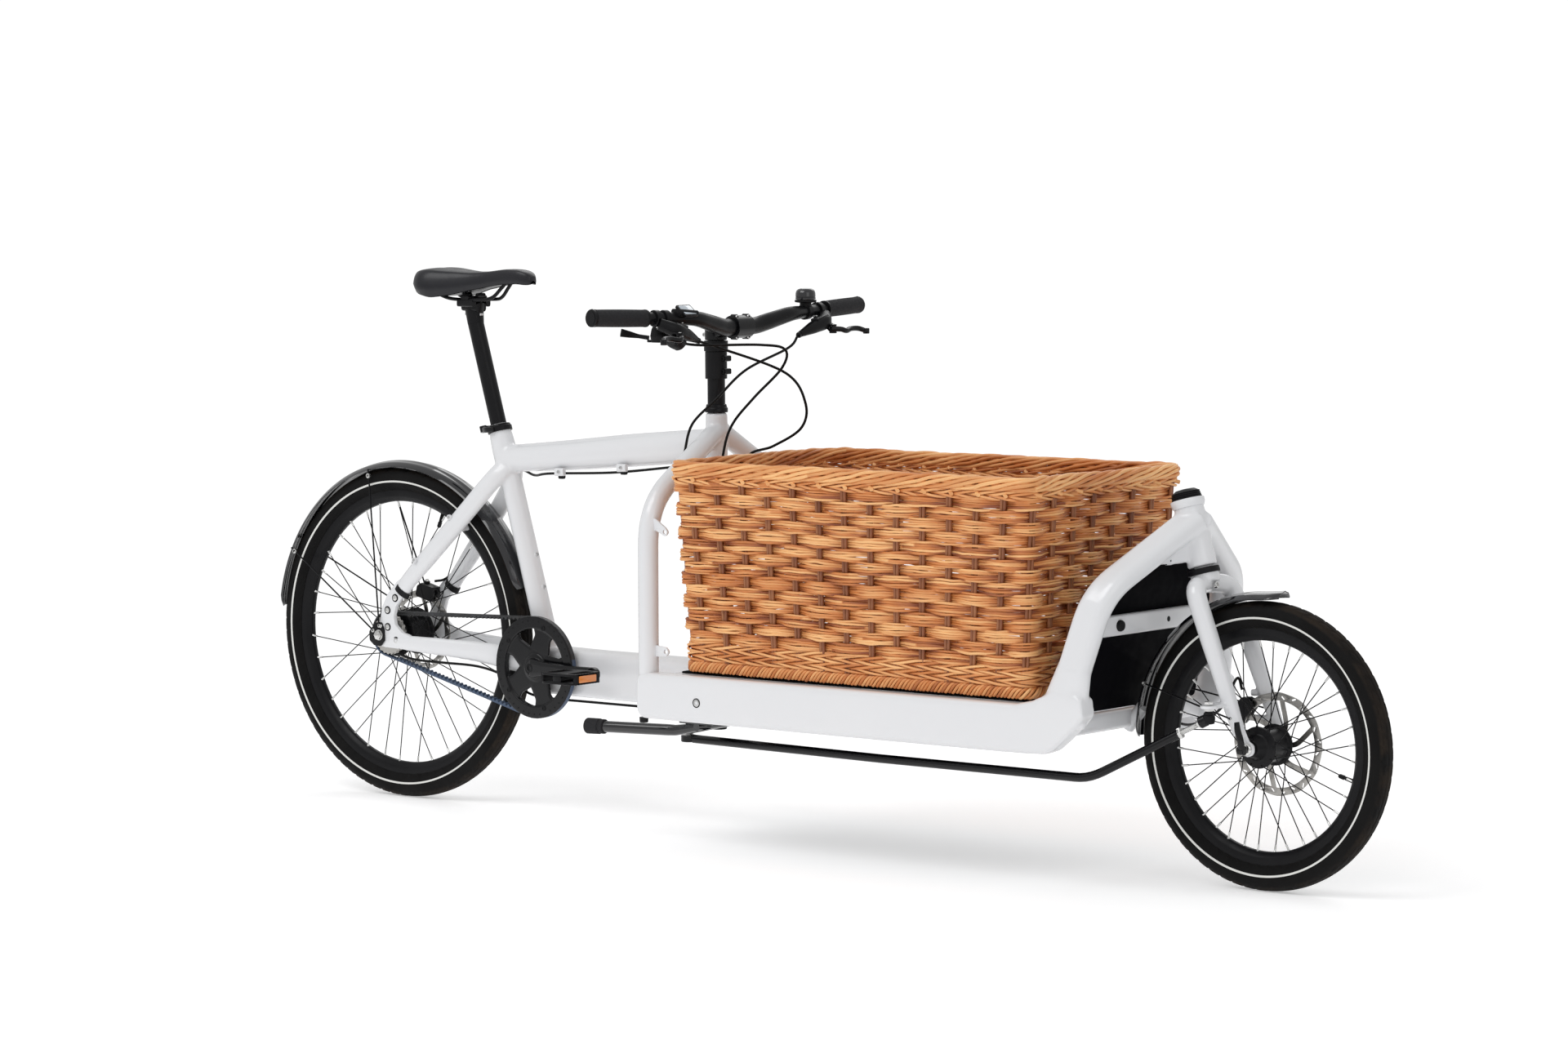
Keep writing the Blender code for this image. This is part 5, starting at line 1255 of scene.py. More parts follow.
def make_frame_fittings():
    """Bosses, eyelets, rail screws, the cap over the front head tube and the cross bar in front of it."""
    white, black, bolts = Shape(), Shape(), Shape()
    for along in (0.15, 0.214):
        spot = seat_point(along) + at(0.0185, 0, 0.006)
        white.turned([(0, 0.0052), (0.003, 0.0048)], spot, SEAT_DIR[[2, 1, 0]] * [1, 1, -1], 24)
        bolts.bolt(spot + at(0.0027, 0, 0.0008), at(0.96, 0, 0.28), 0.0038, 0.002)
    for _, sign in SIDES:
        for x, z in ((0.176, 0.565), (0.098, 0.479)):
            spot = at(x, sign * (0.06 if x > 0.1 else 0.0775), z)
            white.turned([(0, 0.0055), (0.0035, 0.005)], spot, LEFT * sign, 24)
            bolts.bolt(spot + LEFT * sign * 0.0033, LEFT * sign, 0.0034, 0.001)
        for z, rise in ((0.358, 0.0), (0.59, -0.012)):
            lug = [(-0.008, -0.012), (0.008, -0.01), (0.031, -0.0085 + rise), (0.0385, rise),
                   (0.031, 0.0085 + rise), (0.008, 0.011), (-0.008, 0.014)]
            outline = soften(lug, 0.006, 4, closed=True)
            white.plate([outline, ring(0.004, 24) + [0.0295, rise]], 0.005, at(0.83, sign * 0.2125, z), AHEAD,
                        UP, bevel=0.001)
        black.turned([(-0.001, 0.0088), (0.0004, 0.0086), (0.0004, 0.007), (-0.001, 0.007)],
                     at(0.95, sign * 0.2351, 0.272), LEFT * sign, 36, closed=True)
        bolts.bolt(at(0.95, sign * 0.234, 0.272), LEFT * sign, 0.0066, 0.0016)
    for x, z in ((0.432, 0.66), (0.59, 0.674)):
        tab = line(at(x - 0.011, -0.0235, z), at(x + 0.011, -0.0235, z + 0.001), step=0.004)
        white.skin(sweep(tab, rounded_rect(0.008, 0.015, 0.003, 3), LEFT))
        black.bar(at(x - 0.004, -0.018, z - 0.0085), at(x + 0.004, -0.018, z - 0.0085),
                  rounded_rect(0.012, 0.0085, 0.003, 3), LEFT, step=0.002)
        bolts.bolt(at(x, -0.0275, z + 0.001), -LEFT, 0.0034, 0.002)
    base = fork_point(0.657)
    white.turned([(-0.004, 0.0275), (0.003, 0.03), (0.0095, 0.03), (0.0105, 0.0285)], base, FORK_DIR, 56,
                 corner=0.0008)
    ribs = [(0.0108, 0.0255)]
    for k in range(4):
        ribs += [(0.0115 + k * 0.0032, 0.0268 - k * 0.0006), (0.0132 + k * 0.0032, 0.0268 - k * 0.0006),
                 (0.0137 + k * 0.0032, 0.025 - k * 0.0006)]
    ribs += [(0.024, 0.0225), (0.0275, 0.017), (0.0285, 0.008)]
    black.turned(ribs, base, FORK_DIR, 56)
    black.turned([(-0.0135, 0.0262), (-0.0125, 0.0285), (-0.009, 0.0285), (-0.003, 0.0276)],
                 fork_point(0.552), FORK_DIR, 56)
    bar = line(at(1.792, -0.178, 0.453), at(1.792, 0.178, 0.453), step=0.02)
    white.skin(sweep(bar, rounded_rect(0.022, 0.036, 0.006, 4), AHEAD))
    brace = line(at(1.742, 0.0, 0.262), at(1.775, 0.0, 0.3), step=0.01)
    white.skin(tube(brace, 0.012, 24))
    black.turned([(0, 0.01), (0.003, 0.01), (0.006, 0.0085), (0.0078, 0.005)], at(1.803, -0.109, 0.453),
                 AHEAD, 28)
    black.turned([(0, 0.005), (0.0004, 0.0042)], at(1.803, 0.038, 0.453), AHEAD, 20)
    piece("frame_bosses", white, "white", "frame")
    piece("frame_plugs", black, "plastic", "frame")
    piece("frame_bolts", bolts, "steel", "frame")


def make_panels():
    """The deck and the two front panels."""
    deck = Shape()
    slab(deck, [(0.886, -0.206, 0.3218), (1.676, -0.206, 0.3218), (1.676, 0.206, 0.3218),
                (0.886, 0.206, 0.3218)], 0.003, UP, 0.012)
    piece("deck", deck, "panel", "frame", ["deck_panel"])
    panel = Shape()
    lean = at(1, 0, -0.22)
    slab(panel, [(1.754, -0.186, 0.302), (1.754, 0.186, 0.302), (1.787, 0.184, 0.452),
                 (1.787, -0.184, 0.452)], 0.003, lean, 0.01)
    slab(panel, [(1.789, -0.182, 0.465), (1.789, 0.182, 0.465), (1.799, 0.168, 0.51), (1.822, 0.052, 0.592),
                 (1.822, -0.052, 0.592), (1.799, -0.168, 0.51)], 0.003, lean, 0.012)
    piece("front_panels", panel, "panel", "frame", ["front_panel"])
    screws = Shape()
    for y in (-0.15, 0.15):
        for z, x in ((0.33, 1.762), (0.435, 1.785)):
            screws.bolt(at(x, y, z), unit(lean), 0.0045, 0.0022)
    piece("panel_screws", screws, "steel", "frame")


def guard_section():
    """A mudguard's cross-section: a crowned strip with three flutes and rolled edges."""
    ys = np.linspace(-1, 1, 29) * 0.028
    top = -0.0105 * np.abs(ys / 0.028) ** 2.4 + 0.0007 * np.cos(ys / 0.028 * 3 * pi) * (np.abs(ys) < 0.0235)
    top[0] -= 0.0008
    top[-1] -= 0.0008
    low = np.stack([ys[::-1] * 0.955, top[::-1] - 0.0016], 1)
    return np.vstack([np.stack([ys, top], 1), low])


def make_mudguard(name, axle, radius, start, end, body, flap=0.0):
    """A fluted strip round a wheel, narrower at its round ends; flap lifts its first end."""
    steps = int(np.degrees(end - start) / 2)
    section = guard_section()
    rings = []
    for k in range(steps + 1):
        angle = start + (end - start) * k / steps
        width = (0.62, 0.88, 1.0)[min(k, steps - k, 2)]
        lift = flap * max(0.0, 1 - k / 5) ** 2
        outward = at(cos(angle), 0, sin(angle))
        reach = radius - 0.0006 + lift + section[:, 1:]
        rings.append(axle + outward * reach + LEFT * section[:, :1] * width)
    piece(name, Shape().skin(np.array(rings)), "gloss_black", body, [name], sharp=55)


def make_mudguards():
    """Both mudguards, their wire stays and bolts, and the block that holds the rear one's front end."""
    make_mudguard("rear_mudguard", REAR_AXLE, 0.3398, radians(18), radians(174), "frame")
    make_mudguard("front_mudguard", FRONT_AXLE, 0.266, radians(82), radians(180), "front_fork", 0.006)
    rear, front, rear_bolts, front_bolts = Shape(), Shape(), Shape(), Shape()
    for _, sign in SIDES:
        out = LEFT * sign
        for angle, foot in ((radians(103), at(0.002, sign * 0.0812, 0.345)),
                            (radians(152), at(-0.014, sign * 0.0812, 0.335))):
            hook = around(REAR_AXLE, 0.319, angle, sign * 0.029)
            rear.skin(tube(line(foot, hook, around(REAR_AXLE, 0.329, angle, sign * 0.0285), step=0.02,
                                bend=0.004), 0.0016, 10))
            rear_bolts.bolt(around(REAR_AXLE, 0.316, angle, sign * 0.0285), out, 0.005, 0.0042)
            rear_bolts.bolt(foot - out * 0.0015, out, 0.0036, 0.0025)
        hook = around(FRONT_AXLE, 0.254, radians(158), sign * 0.028)
        foot = at(2.006, sign * 0.0705, 0.302)
        front.rod(foot, hook, 0.0016, 10, step=0.02)
        front_bolts.bolt(around(FRONT_AXLE, 0.255, radians(158), sign * 0.027), out, 0.004, 0.003)
        front_bolts.bolt(foot - out * 0.002, out, 0.0036, 0.0025)
    piece("rear_guard_stays", rear, "spoke", "frame")
    piece("rear_guard_bolts", rear_bolts, "zinc", "frame")
    piece("front_guard_stays", front, "spoke", "front_fork")
    piece("front_guard_bolts", front_bolts, "zinc", "front_fork")
    block = Shape()
    slab(block, [(0.333, 0, 0.44), (0.349, 0, 0.452), (0.366, 0, 0.425), (0.352, 0, 0.384), (0.337, 0, 0.38)],
         0.02, LEFT, 0.004)
    piece("mudguard_block", block, "plastic", "frame")


make_basket()
make_seat_clamp()
make_dropouts()
make_frame_fittings()
make_panels()
make_mudguards()


# ================================================================ drive
def toothed(radius, teeth, depth, centre, shape, half_width, bore):
    """A toothed wheel turned about Y."""
    def edge(along, a):
        """Teeth cut into the profile."""
        wave = np.clip(np.sin(a * teeth) * 1.6, -1, 1)
        return 1 - depth / radius * (0.5 - 0.5 * wave)

    sides = teeth * 8
    loop = [(-half_width, bore), (-half_width, radius - 0.0012), (-half_width + 0.0008, radius),
            (half_width - 0.0008, radius), (half_width, radius - 0.0012), (half_width, bore)]
    rings = lathe(loop, centre, sides=sides, bumps=edge)
    inner = lathe([(-half_width, bore), (half_width, bore)], centre, sides=sides)
    rings[0], rings[-1] = inner[0], inner[1]
    return shape.skin(rings, closed=True)


def make_belt():
    """A toothed belt round the chainring and the sprocket; teeth on its inside."""
    gap = 0.0004
    span = np.linalg.norm(CRANK_AXIS - REAR_AXLE)
    tilt = atan2(CRANK_AXIS[2] - REAR_AXLE[2], CRANK_AXIS[0])
    ring_r, cog_r = 0.094 + gap, 0.041 + gap
    lean = np.arcsin((ring_r - cog_r) / span)
    points, outs = [], []
    for centre, radius, first, last in ((CRANK_AXIS, ring_r, -pi / 2 - lean, pi / 2 + lean),
                                        (REAR_AXLE, cog_r, pi / 2 + lean, 3 * pi / 2 - lean)):
        for a in np.linspace(tilt + first, tilt + last, 200):
            points.append(centre + at(radius * cos(a), 0, radius * sin(a)))
            outs.append(at(cos(a), 0, sin(a)))
    points.append(points[0])
    outs.append(outs[0])
    points, outs = np.array(points), np.array(outs)
    along = distances(points)
    teeth = 118
    count = teeth * 8
    where = np.linspace(0, along[-1], count, endpoint=False)
    path = np.stack([np.interp(where, along, points[:, k]) for k in range(3)], 1)
    out = np.stack([np.interp(where, along, outs[:, k]) for k in range(3)], 1)
    out /= np.linalg.norm(out, axis=1)[:, None]
    tooth = np.clip(np.sin(where / along[-1] * teeth * 2 * pi) * 1.8, -1, 1) * 0.5 + 0.5
    half = 0.0053
    wrapped = (path[:, 0] < 0.02) | (path[:, 0] > 0.375)
    inner = np.where(wrapped, 0.0, -0.004 * tooth)
    rings = []
    for k in range(count):
        base = path[k] + LEFT * BELT_Y
        section = ((-half, inner[k]), (half, inner[k]), (half, 0.003), (half - 0.0008, 0.0037),
                   (-half + 0.0008, 0.0037), (-half, 0.003))
        rings.append([base + LEFT * y + out[k] * rise for y, rise in section])
    return np.array(rings)


def make_drive():
    """The belt, the rear cog, the crankset with its bolts, the bearing cups and the pedals."""
    rings = make_belt()
    # Marks the belt's lower run with tone 1, which the belt material paints with a lighter, bluish painted
    # sheen.
    low = rings[:, :, 2].mean(axis=1) < 0.5 * (CRANK_AXIS[2] + REAR_AXLE[2])
    piece("belt", Shape().skin(rings, closed=True, tone=low.astype(float)), "belt", "frame", ["belt"],
          sharp=30)
    cog = toothed(0.0408, 24, 0.0022, REAR_AXLE + LEFT * BELT_Y, Shape(), 0.0052, 0.01)
    piece("rear_cog", cog, "disc", "rear_drive", ["rear_sprocket"], slot="black_aluminium")

    spider = Shape()
    toothed(0.0938, 55, 0.0022, CRANK_AXIS + LEFT * BELT_Y, spider, 0.0042, 0.075)
    guard = [(BELT_Y - 0.008, 0.075), (BELT_Y - 0.008, 0.0975), (BELT_Y - 0.0072, 0.0985),
             (BELT_Y - 0.0058, 0.0985), (BELT_Y - 0.004, 0.09), (BELT_Y - 0.003, 0.075)]
    spider.turned(guard, CRANK_AXIS, sides=160, closed=True)
    reach = np.linspace(0.012, 0.0795, 14)
    widths = np.interp(reach, [0.012, 0.03, 0.06, 0.0795], [0.058, 0.05, 0.04, 0.06])
    for k in range(5):
        arm = [around(CRANK_AXIS, r, 2 * pi * k / 5, BELT_Y - 0.0012) for r in reach]
        spider.skin(loft(arm, rounded_rect(0.0065, 0.02, 0.0022, 3),
                         np.stack([np.ones(14), widths / 0.02], 1), LEFT))
    hub = [(-0.0655, 0.006), (-0.066, 0.015), (-0.064, 0.0172), (-0.056, 0.0185), (-0.054, 0.026),
           (-0.05, 0.029), (-0.0455, 0.029), (-0.044, 0.0125), (0.0455, 0.0118)]
    spider.turned(hub, CRANK_AXIS, sides=64)
    crank_arm(spider, -1, 1)
    carve("crankset", spider, [], "crankset", ["crank_right"], 0.0011, 2, "forged")
    left = Shape().turned([(0.0465, 0.012), (0.047, 0.0145), (0.079, 0.0145), (0.08, 0.013)], CRANK_AXIS,
                          sides=40)
    crank_arm(left, 1, -1)
    carve("left_crank", left, [], "crankset", ["crank_left"], 0.0012, 2, "forged")
    bolts = Shape()
    bolts.bolt(CRANK_AXIS - LEFT * 0.0672, -LEFT, 0.0085, 0.0016)
    bolts.bolt(CRANK_AXIS + LEFT * 0.08, LEFT, 0.0085, 0.0016)
    for k in range(5):
        bolts.bolt(around(CRANK_AXIS, 0.081, 2 * pi * k / 5, BELT_Y - 0.0078), -LEFT, 0.0052, 0.0012)
    for k in range(40):
        if k % 8:
            bolts.turned([(0, 0.0022), (0.0005, 0.0019)], around(CRANK_AXIS, 0.0905, 2 * pi * k / 40,
                         BELT_Y - 0.0079), -LEFT, 14)
    piece("crank_bolts", bolts, "anodised", "crankset")
    cups = Shape()
    for _, sign in SIDES:
        cups.turned([(sign * 0.0364, 0.013), (sign * 0.0364, 0.0215), (sign * 0.041, 0.0205),
                     (sign * 0.0415, 0.013)], CRANK_AXIS, sides=48,
                    bumps=lambda along, a: 1 + 0.02 * np.sign(np.sin(16 * a)), closed=True)
    piece("bottom_bracket_cups", cups, "anodised", "frame")
    for side, sign, forward in (("right", -1, 1), ("left", 1, -1)):
        make_pedal(side, sign, forward)


def crank_arm(shape, sign, forward):
    """A forged arm, waisted in its middle, with a groove along its face."""
    xs = np.linspace(0, CRANK_LENGTH + 0.004, 26)
    ys = np.interp(xs, [0, 0.085, 0.174], [0.061, 0.0695, 0.0755])
    path = CRANK_AXIS + np.stack([forward * xs, sign * ys, np.zeros(26)], 1)
    heights = np.interp(xs, [0, 0.03, 0.1, 0.16, 0.174], [0.036, 0.028, 0.0225, 0.025, 0.026])
    thick = np.interp(xs, [0, 0.085, 0.174], [0.0135, 0.014, 0.0125])
    shape.skin(loft(path, rounded_rect(1, 1, 0.24), np.stack([thick, heights], 1), LEFT))
    end = path[-1] - at(forward * 0.004, 0, 0)
    shape.turned([(-0.0062, 0.013), (0.0062, 0.013)], end, LEFT, 32)


def make_pedal(side, sign, forward):
    """A cage pedal: a body round the spindle, two side plates with teeth, and orange reflectors."""
    centre = CRANK_AXIS + at(forward * CRANK_LENGTH, sign * 0.14, 0)
    cage, metal, glow = Shape(), Shape(), Shape()
    outline = rounded_rect(0.086, 0.08, 0.014, 5)
    inner = [rounded_rect(0.024, 0.056, 0.007, 4) + [x, 0] for x in (-0.0265, 0.0265)]
    for z in (-0.008, 0.008):
        cage.plate([outline] + inner, 0.0045, centre + UP * z, AHEAD, LEFT, bevel=0.001)
    for fx in (-1, 1):
        teeth = line(centre + at(fx * 0.0405, -0.034, 0), centre + at(fx * 0.0405, 0.034, 0), step=0.001)
        height = 0.018 + 0.0026 * np.clip(np.sin(np.arange(len(teeth)) * 2 * pi / 8) * 2, -1, 1)
        block = rounded_rect(0.005, 1, 0.001, 2)
        cage.skin(loft(teeth, block, np.stack([np.ones(len(teeth)), height], 1), AHEAD))
        slab(glow, [centre + at(fx * 0.0433, y, z) for y, z in ((-0.024, -0.0065), (0.024, -0.0065),
             (0.024, 0.0065), (-0.024, 0.0065))], 0.0016, AHEAD, 0.002)
    cage.turned([(-0.039, 0.009), (-0.038, 0.0105), (-0.02, 0.0095), (0.02, 0.0095), (0.038, 0.0105),
                 (0.039, 0.009)], centre, sides=40)
    inner_end = sign * (0.0815 - 0.14)
    metal.turned([(inner_end, 0.007), (inner_end + sign * 0.012, 0.007), (sign * -0.039, 0.0062),
                  (0, 0.0062)], centre, sides=32)
    piece(f"{side}_pedal_cage", cage, "plastic", f"{side}_pedal", [f"pedal_{side}"])
    piece(f"{side}_pedal_spindle", metal, "steel", f"{side}_pedal")
    piece(f"{side}_pedal_reflectors", glow, "reflector", f"{side}_pedal")


# ================================================================ brakes
def make_caliper(name, axle, angle, disc_r, disc_y, outer_y, body):
    """A two-part caliper with a piston bulge, cooling cuts, a pad pin and mount bolts."""
    out = at(cos(angle), 0, sin(angle))
    along = at(-sin(angle), 0, cos(angle))
    centre = axle + out * disc_r + LEFT * disc_y
    shape, bolts = Shape(), Shape()
    width = outer_y - disc_y

    def half(face, depth, radius):
        """One side's block, from a distance beside the disc outwards."""
        corners = [(-0.0235, -0.015), (-0.0235, 0.006), (-0.015, 0.0135), (0.015, 0.0135), (0.0235, 0.006),
                   (0.0235, -0.015)]
        spots = [centre + along * u + out * v + LEFT * (face + depth / 2) for u, v in corners]
        slab(shape, spots, abs(depth), LEFT, radius)

    half(0.0036, width - 0.007, 0.006)
    half(-0.0085, 0.0049, 0.006)
    roof = [centre + along * u + out * v + LEFT * (width / 2 - 0.004) for u, v in ((-0.018, 0.0035),
            (-0.018, 0.0135), (0.018, 0.0135), (0.018, 0.0035))]
    slab(shape, roof, width + 0.0075, LEFT, 0.003)
    shape.turned([(width - 0.0055, 0.0125), (width - 0.001, 0.012), (width - 0.0002, 0.0105)],
                 centre - out * 0.002, sides=40, corner=0.0008)
    banjo = centre + along * 0.012 + out * 0.0135 + LEFT * (width - 0.009)
    shape.turned([(0, 0.006), (0.005, 0.006), (0.0055, 0.005)], banjo - out * 0.001, out, 28)
    piece(name, shape, "anodised", body, [name])
    for u in (-0.0195, 0.0195):
        bolts.bolt(centre + along * u + LEFT * (width - 0.0038), LEFT, 0.0044, 0.003)
    bolts.bolt(banjo + out * 0.004, out, 0.0046, 0.0032)
    piece(f"{name}_bolts", bolts, "zinc", body)


def make_brakes():
    """Both brakes' calipers, over their discs."""
    make_caliper("front_caliper", FRONT_AXLE, radians(142), FRONT_DISC_RADIUS, FRONT_DISC_Y, 0.052,
                 "front_fork")
    make_caliper("rear_caliper", REAR_AXLE, radians(76), REAR_DISC_RADIUS, REAR_DISC_Y, 0.056, "frame")


# ================================================================ stand and steering rod
def make_stand():
    """The folded two-legged stand with rubber feet, and its bracket under the rails."""
    black, rubber = Shape(), Shape()
    pivot_at = pivot("stand_fold")
    black.rod(pivot_at - LEFT * 0.165, pivot_at + LEFT * 0.165, 0.0075, 28, step=0.02)
    for _, sign in SIDES:
        leg = line(pivot_at + at(-0.001, sign * 0.152, 0), pivot_at + at(-0.055, sign * 0.158, -0.01),
                   at(0.69, sign * 0.186, 0.2055), at(0.655, sign * 0.19, 0.205), step=0.008, bend=0.03)
        radii = np.interp(np.linspace(0, 1, len(leg)), [0, 0.22, 0.3, 1], [0.0075, 0.01, 0.0108, 0.0108])
        black.skin(tube(leg, radii, 24, UP))
        axis = unit(at(0.655, sign * 0.19, 0.205) - at(0.69, sign * 0.186, 0.2055))
        foot = at(0.6855, sign * 0.1866, 0.2054)
        rubber.turned([(0, 0.0118), (0.0006, 0.0136), (0.006, 0.0138), (0.0064, 0.0128), (0.011, 0.0128),
                       (0.0116, 0.0146), (0.0385, 0.0149), (0.0402, 0.014), (0.0406, 0.012)], foot, axis, 40,
                      corner=0.0006)
    piece("stand_legs", black, "gloss_black", "stand", ["kickstand"])
    piece("stand_feet", rubber, "foam", "stand")
    bracket, bumpers = Shape(), Shape()
    bracket.bar(at(0.911, -0.172, 0.2272), at(0.911, 0.172, 0.2272), rounded_rect(0.076, 0.004, 0.0015, 3),
                AHEAD, step=0.02)
    for _, sign in SIDES:
        bracket.bar(at(0.911, sign * 0.125, 0.23), at(0.911, sign * 0.194, 0.23),
                    rounded_rect(0.076, 0.007, 0.002, 3), AHEAD, step=0.01)
        for x in (0.885, 0.935):
            bumpers.bolt(at(x, sign * 0.182, 0.2264), -UP, 0.0052, 0.0034)
        bumper = at(0.8, sign * 0.208, 0.2335)
        bumpers.turned([(0, 0.0085), (0.009, 0.008), (0.01, 0.0065)], bumper, -UP, 28)
    piece("stand_plate", bracket, "gloss_black", "frame", ["stand_bracket"])
    piece("stand_bolts", bumpers, "anodised", "frame")


def make_rod():
    """The steering rod with a ball joint at each end."""
    ball = pivot("rod_yaw")
    eye = pivot("rod_pitch")
    end = ROD_FRONT
    stud = Shape().turned([(-0.0225, 0.005), (-0.0222, 0.0092), (-0.009, 0.0092), (-0.0063, 0.008),
                           (-0.0063, 0.004), (0.007, 0.004)], ball, UP, 32)
    piece("rod_rear_ball", stud, "zinc", "rod_joint", ["tie_rod_joint"])
    black, silver = Shape(), Shape()
    low = eye[2]
    black.turned([(-0.006, 0.0102), (-0.006, 0.014), (-0.005, 0.015), (0.005, 0.015), (0.006, 0.014),
                  (0.006, 0.0102)], eye, UP, 40, closed=True)
    path = line(at(ball[0] + 0.0125, ball[1] - 0.001, low), at(1.3, -0.138, 0.187), at(1.78, -0.168, 0.192),
                at(1.938, -0.1262, 0.2765), step=0.012, bend=0.1)
    black.skin(tube(path, 0.008, 24))
    direction = unit(end - at(1.949, -0.123, 0.2835))
    reach = np.linalg.norm(end - path[-1])
    silver.nut(path[-1], direction, 0.009, 0.007)
    thread = np.arange(0.006, reach - 0.018, 0.0007)
    silver.turned([(t, 0.0046 if i % 2 else 0.0041) for i, t in enumerate(thread)], path[-1], direction, 20)
    silver.nut(end - direction * 0.022, direction, 0.0075, 0.005)
    black.turned([(0, 0.009), (0.0015, 0.0104), (0.013, 0.0104), (0.0145, 0.009)], end - direction * 0.0185,
                 direction, 36)
    piece("rod_bar", black, "forged", "rod", ["tie_rod"], slot="gloss_black")
    piece("rod_nuts", silver, "zinc", "rod")


make_drive()
make_brakes()
make_stand()
make_rod()


# ================================================================ seat
def make_saddle():
    """A crowned, padded saddle with a relief groove, on a shell with two steel rails."""
    xs = np.concatenate([[0.0785, 0.0795, 0.082], np.linspace(0.086, 0.34, 46), [0.344, 0.3462, 0.347]])
    half = np.interp(xs, [0.078, 0.082, 0.09, 0.105, 0.125, 0.15, 0.175, 0.205, 0.24, 0.3, 0.33, 0.342,
                          0.347], [0.044, 0.056, 0.0655, 0.071, 0.069, 0.058, 0.046, 0.0345, 0.027, 0.0225,
                                   0.02, 0.015, 0.008])
    crown = np.interp(xs, [0.078, 0.09, 0.115, 0.15, 0.2, 0.24, 0.285, 0.32, 0.34, 0.347], [1.038, 1.045,
                      1.0476, 1.044, 1.0398, 1.041, 1.0462, 1.0455, 1.04, 1.032])
    hang = np.interp(xs, [0.078, 0.09, 0.125, 0.165, 0.205, 0.255, 0.305, 0.34, 0.347], [0.026, 0.046, 0.056,
                     0.047, 0.035, 0.029, 0.028, 0.024, 0.014])
    for _ in range(3):
        for values in (half, crown, hang):
            values[3:-3] = (values[2:-4] + 2 * values[3:-3] + values[4:-2]) / 4
    rings, shell = [], []
    for x, h, top, depth in zip(xs, half, crown, hang):
        section = []
        for t in np.linspace(0, 1, 19):
            y = h * sin(pi / 2 * t) ** 0.95
            z = -depth * (0.26 * t ** 2.2 + 0.74 * max(0.0, (t - 0.52) / 0.48) ** 1.7)
            groove = 0.0012 * np.exp(-(y / 0.006) ** 2) * np.interp(x, [0.09, 0.12, 0.26, 0.3], [0, 1, 1, 0])
            tuck = 1 - 0.12 * max(0.0, (t - 0.9) / 0.1)
            section.append((y * tuck, z - groove))
        left = [(x, -y, top + z) for y, z in section[::-1]]
        right = [(x, y, top + z) for y, z in section[1:]]
        rings.append(left + right)
        rim_y, rim_z = section[-1]
        base = top - min(depth, 0.024)
        shell.append([(x, -rim_y * 0.97, top + rim_z + 0.001), (x, -rim_y * 0.97, top + rim_z - 0.0012),
                      (x, -rim_y * 0.62, base), (x, 0, base + 0.002), (x, rim_y * 0.62, base),
                      (x, rim_y * 0.97, top + rim_z - 0.0012), (x, rim_y * 0.97, top + rim_z + 0.001),
                      (x, rim_y * 0.62, base + 0.004), (x, 0, base + 0.006),
                      (x, -rim_y * 0.62, base + 0.004)])
    cover = piece("saddle_cover", Shape().skin(np.array(rings)), "leather", "seat", ["saddle"], sharp=60)
    piece("saddle_shell", Shape().skin(np.array(shell)), "plastic", "seat")
    rails = Shape()
    for _, sign in SIDES:
        y = sign * 0.0215
        route = spline([(0.284, sign * 0.008, 1.02), (0.272, sign * 0.01, 1.008),
                        (0.252, sign * 0.014, 0.9905), (0.224, y, 0.986), (0.15, y, 0.9875),
                        (0.115, sign * 0.028, 1.0), (0.09, sign * 0.036, 1.012)], 0.004)
        rails.skin(tube(route, 0.0035, 16))
    piece("saddle_rails", rails, "anodised", "seat")


def make_seatpost():
    """A post with a forged head, a cradle, two clamps over the rails and two upright bolts."""
    head = seat_point(0.69)
    post = Shape().rod(seat_point(0.33), head, 0.0156, 40, step=0.02)
    neck = line(seat_point(0.682), head + SEAT_DIR * 0.03 + AHEAD * 0.006, step=0.003)
    sizes = [(0.0318, 0.0318), (0.0335, 0.034), (0.031, 0.04), (0.028, 0.048)]
    post.skin(loft(neck, ring(0.5, 40), sizes, LEFT))
    piece("seatpost", post, "anodised", "seat", ["seatpost"])
    clamp, bolts = Shape(), Shape()
    middle = head + at(-0.003, 0, 0.029)
    clamp.bar(middle - at(0.019, 0, 0.004), middle + at(0.019, 0, -0.006),
              rounded_rect(0.03, 0.016, 0.006, 4), LEFT, step=0.004)
    for _, sign in SIDES:
        clamp.bar(middle + at(-0.02, sign * 0.0205, 0.0045), middle + at(0.02, sign * 0.0205, 0.0035),
                  rounded_rect(0.012, 0.016, 0.004, 3), LEFT, step=0.004)
    clamp.bar(middle + at(0.001, -0.0265, 0.0135), middle + at(0.001, 0.0265, 0.0135),
              rounded_rect(0.02, 0.007, 0.0025, 3), AHEAD, step=0.004)
    for x in (-0.0165, 0.0185):
        clamp.rod(middle + at(x, 0, -0.02), middle + at(x, 0, 0.02), 0.0028, 16, step=0.004)
        bolts.bolt(middle + at(x, 0, -0.0165), -UP, 0.0048, 0.0045)
        clamp.rod(middle + at(x, -0.01, 0.018), middle + at(x, 0.01, 0.018), 0.0045, 20, step=0.004)
    piece("seat_cradle", clamp, "anodised", "seat")
    piece("seat_cradle_bolts", bolts, "steel", "seat")


# ================================================================ handlebar and controls
CLAMP = at(0.862, 0, 0.946)
BAR_BEND = at(0.874, 0.135, 0.966)
BAR_END = at(0.837, 0.384, 0.974)
GRIP_DIR = unit(BAR_END - BAR_BEND)


def bar_point(distance, sign):
    """A point on the bar's straight outer stretch, so far in from its end."""
    return (BAR_END - GRIP_DIR * distance) * at(1, sign, 1)


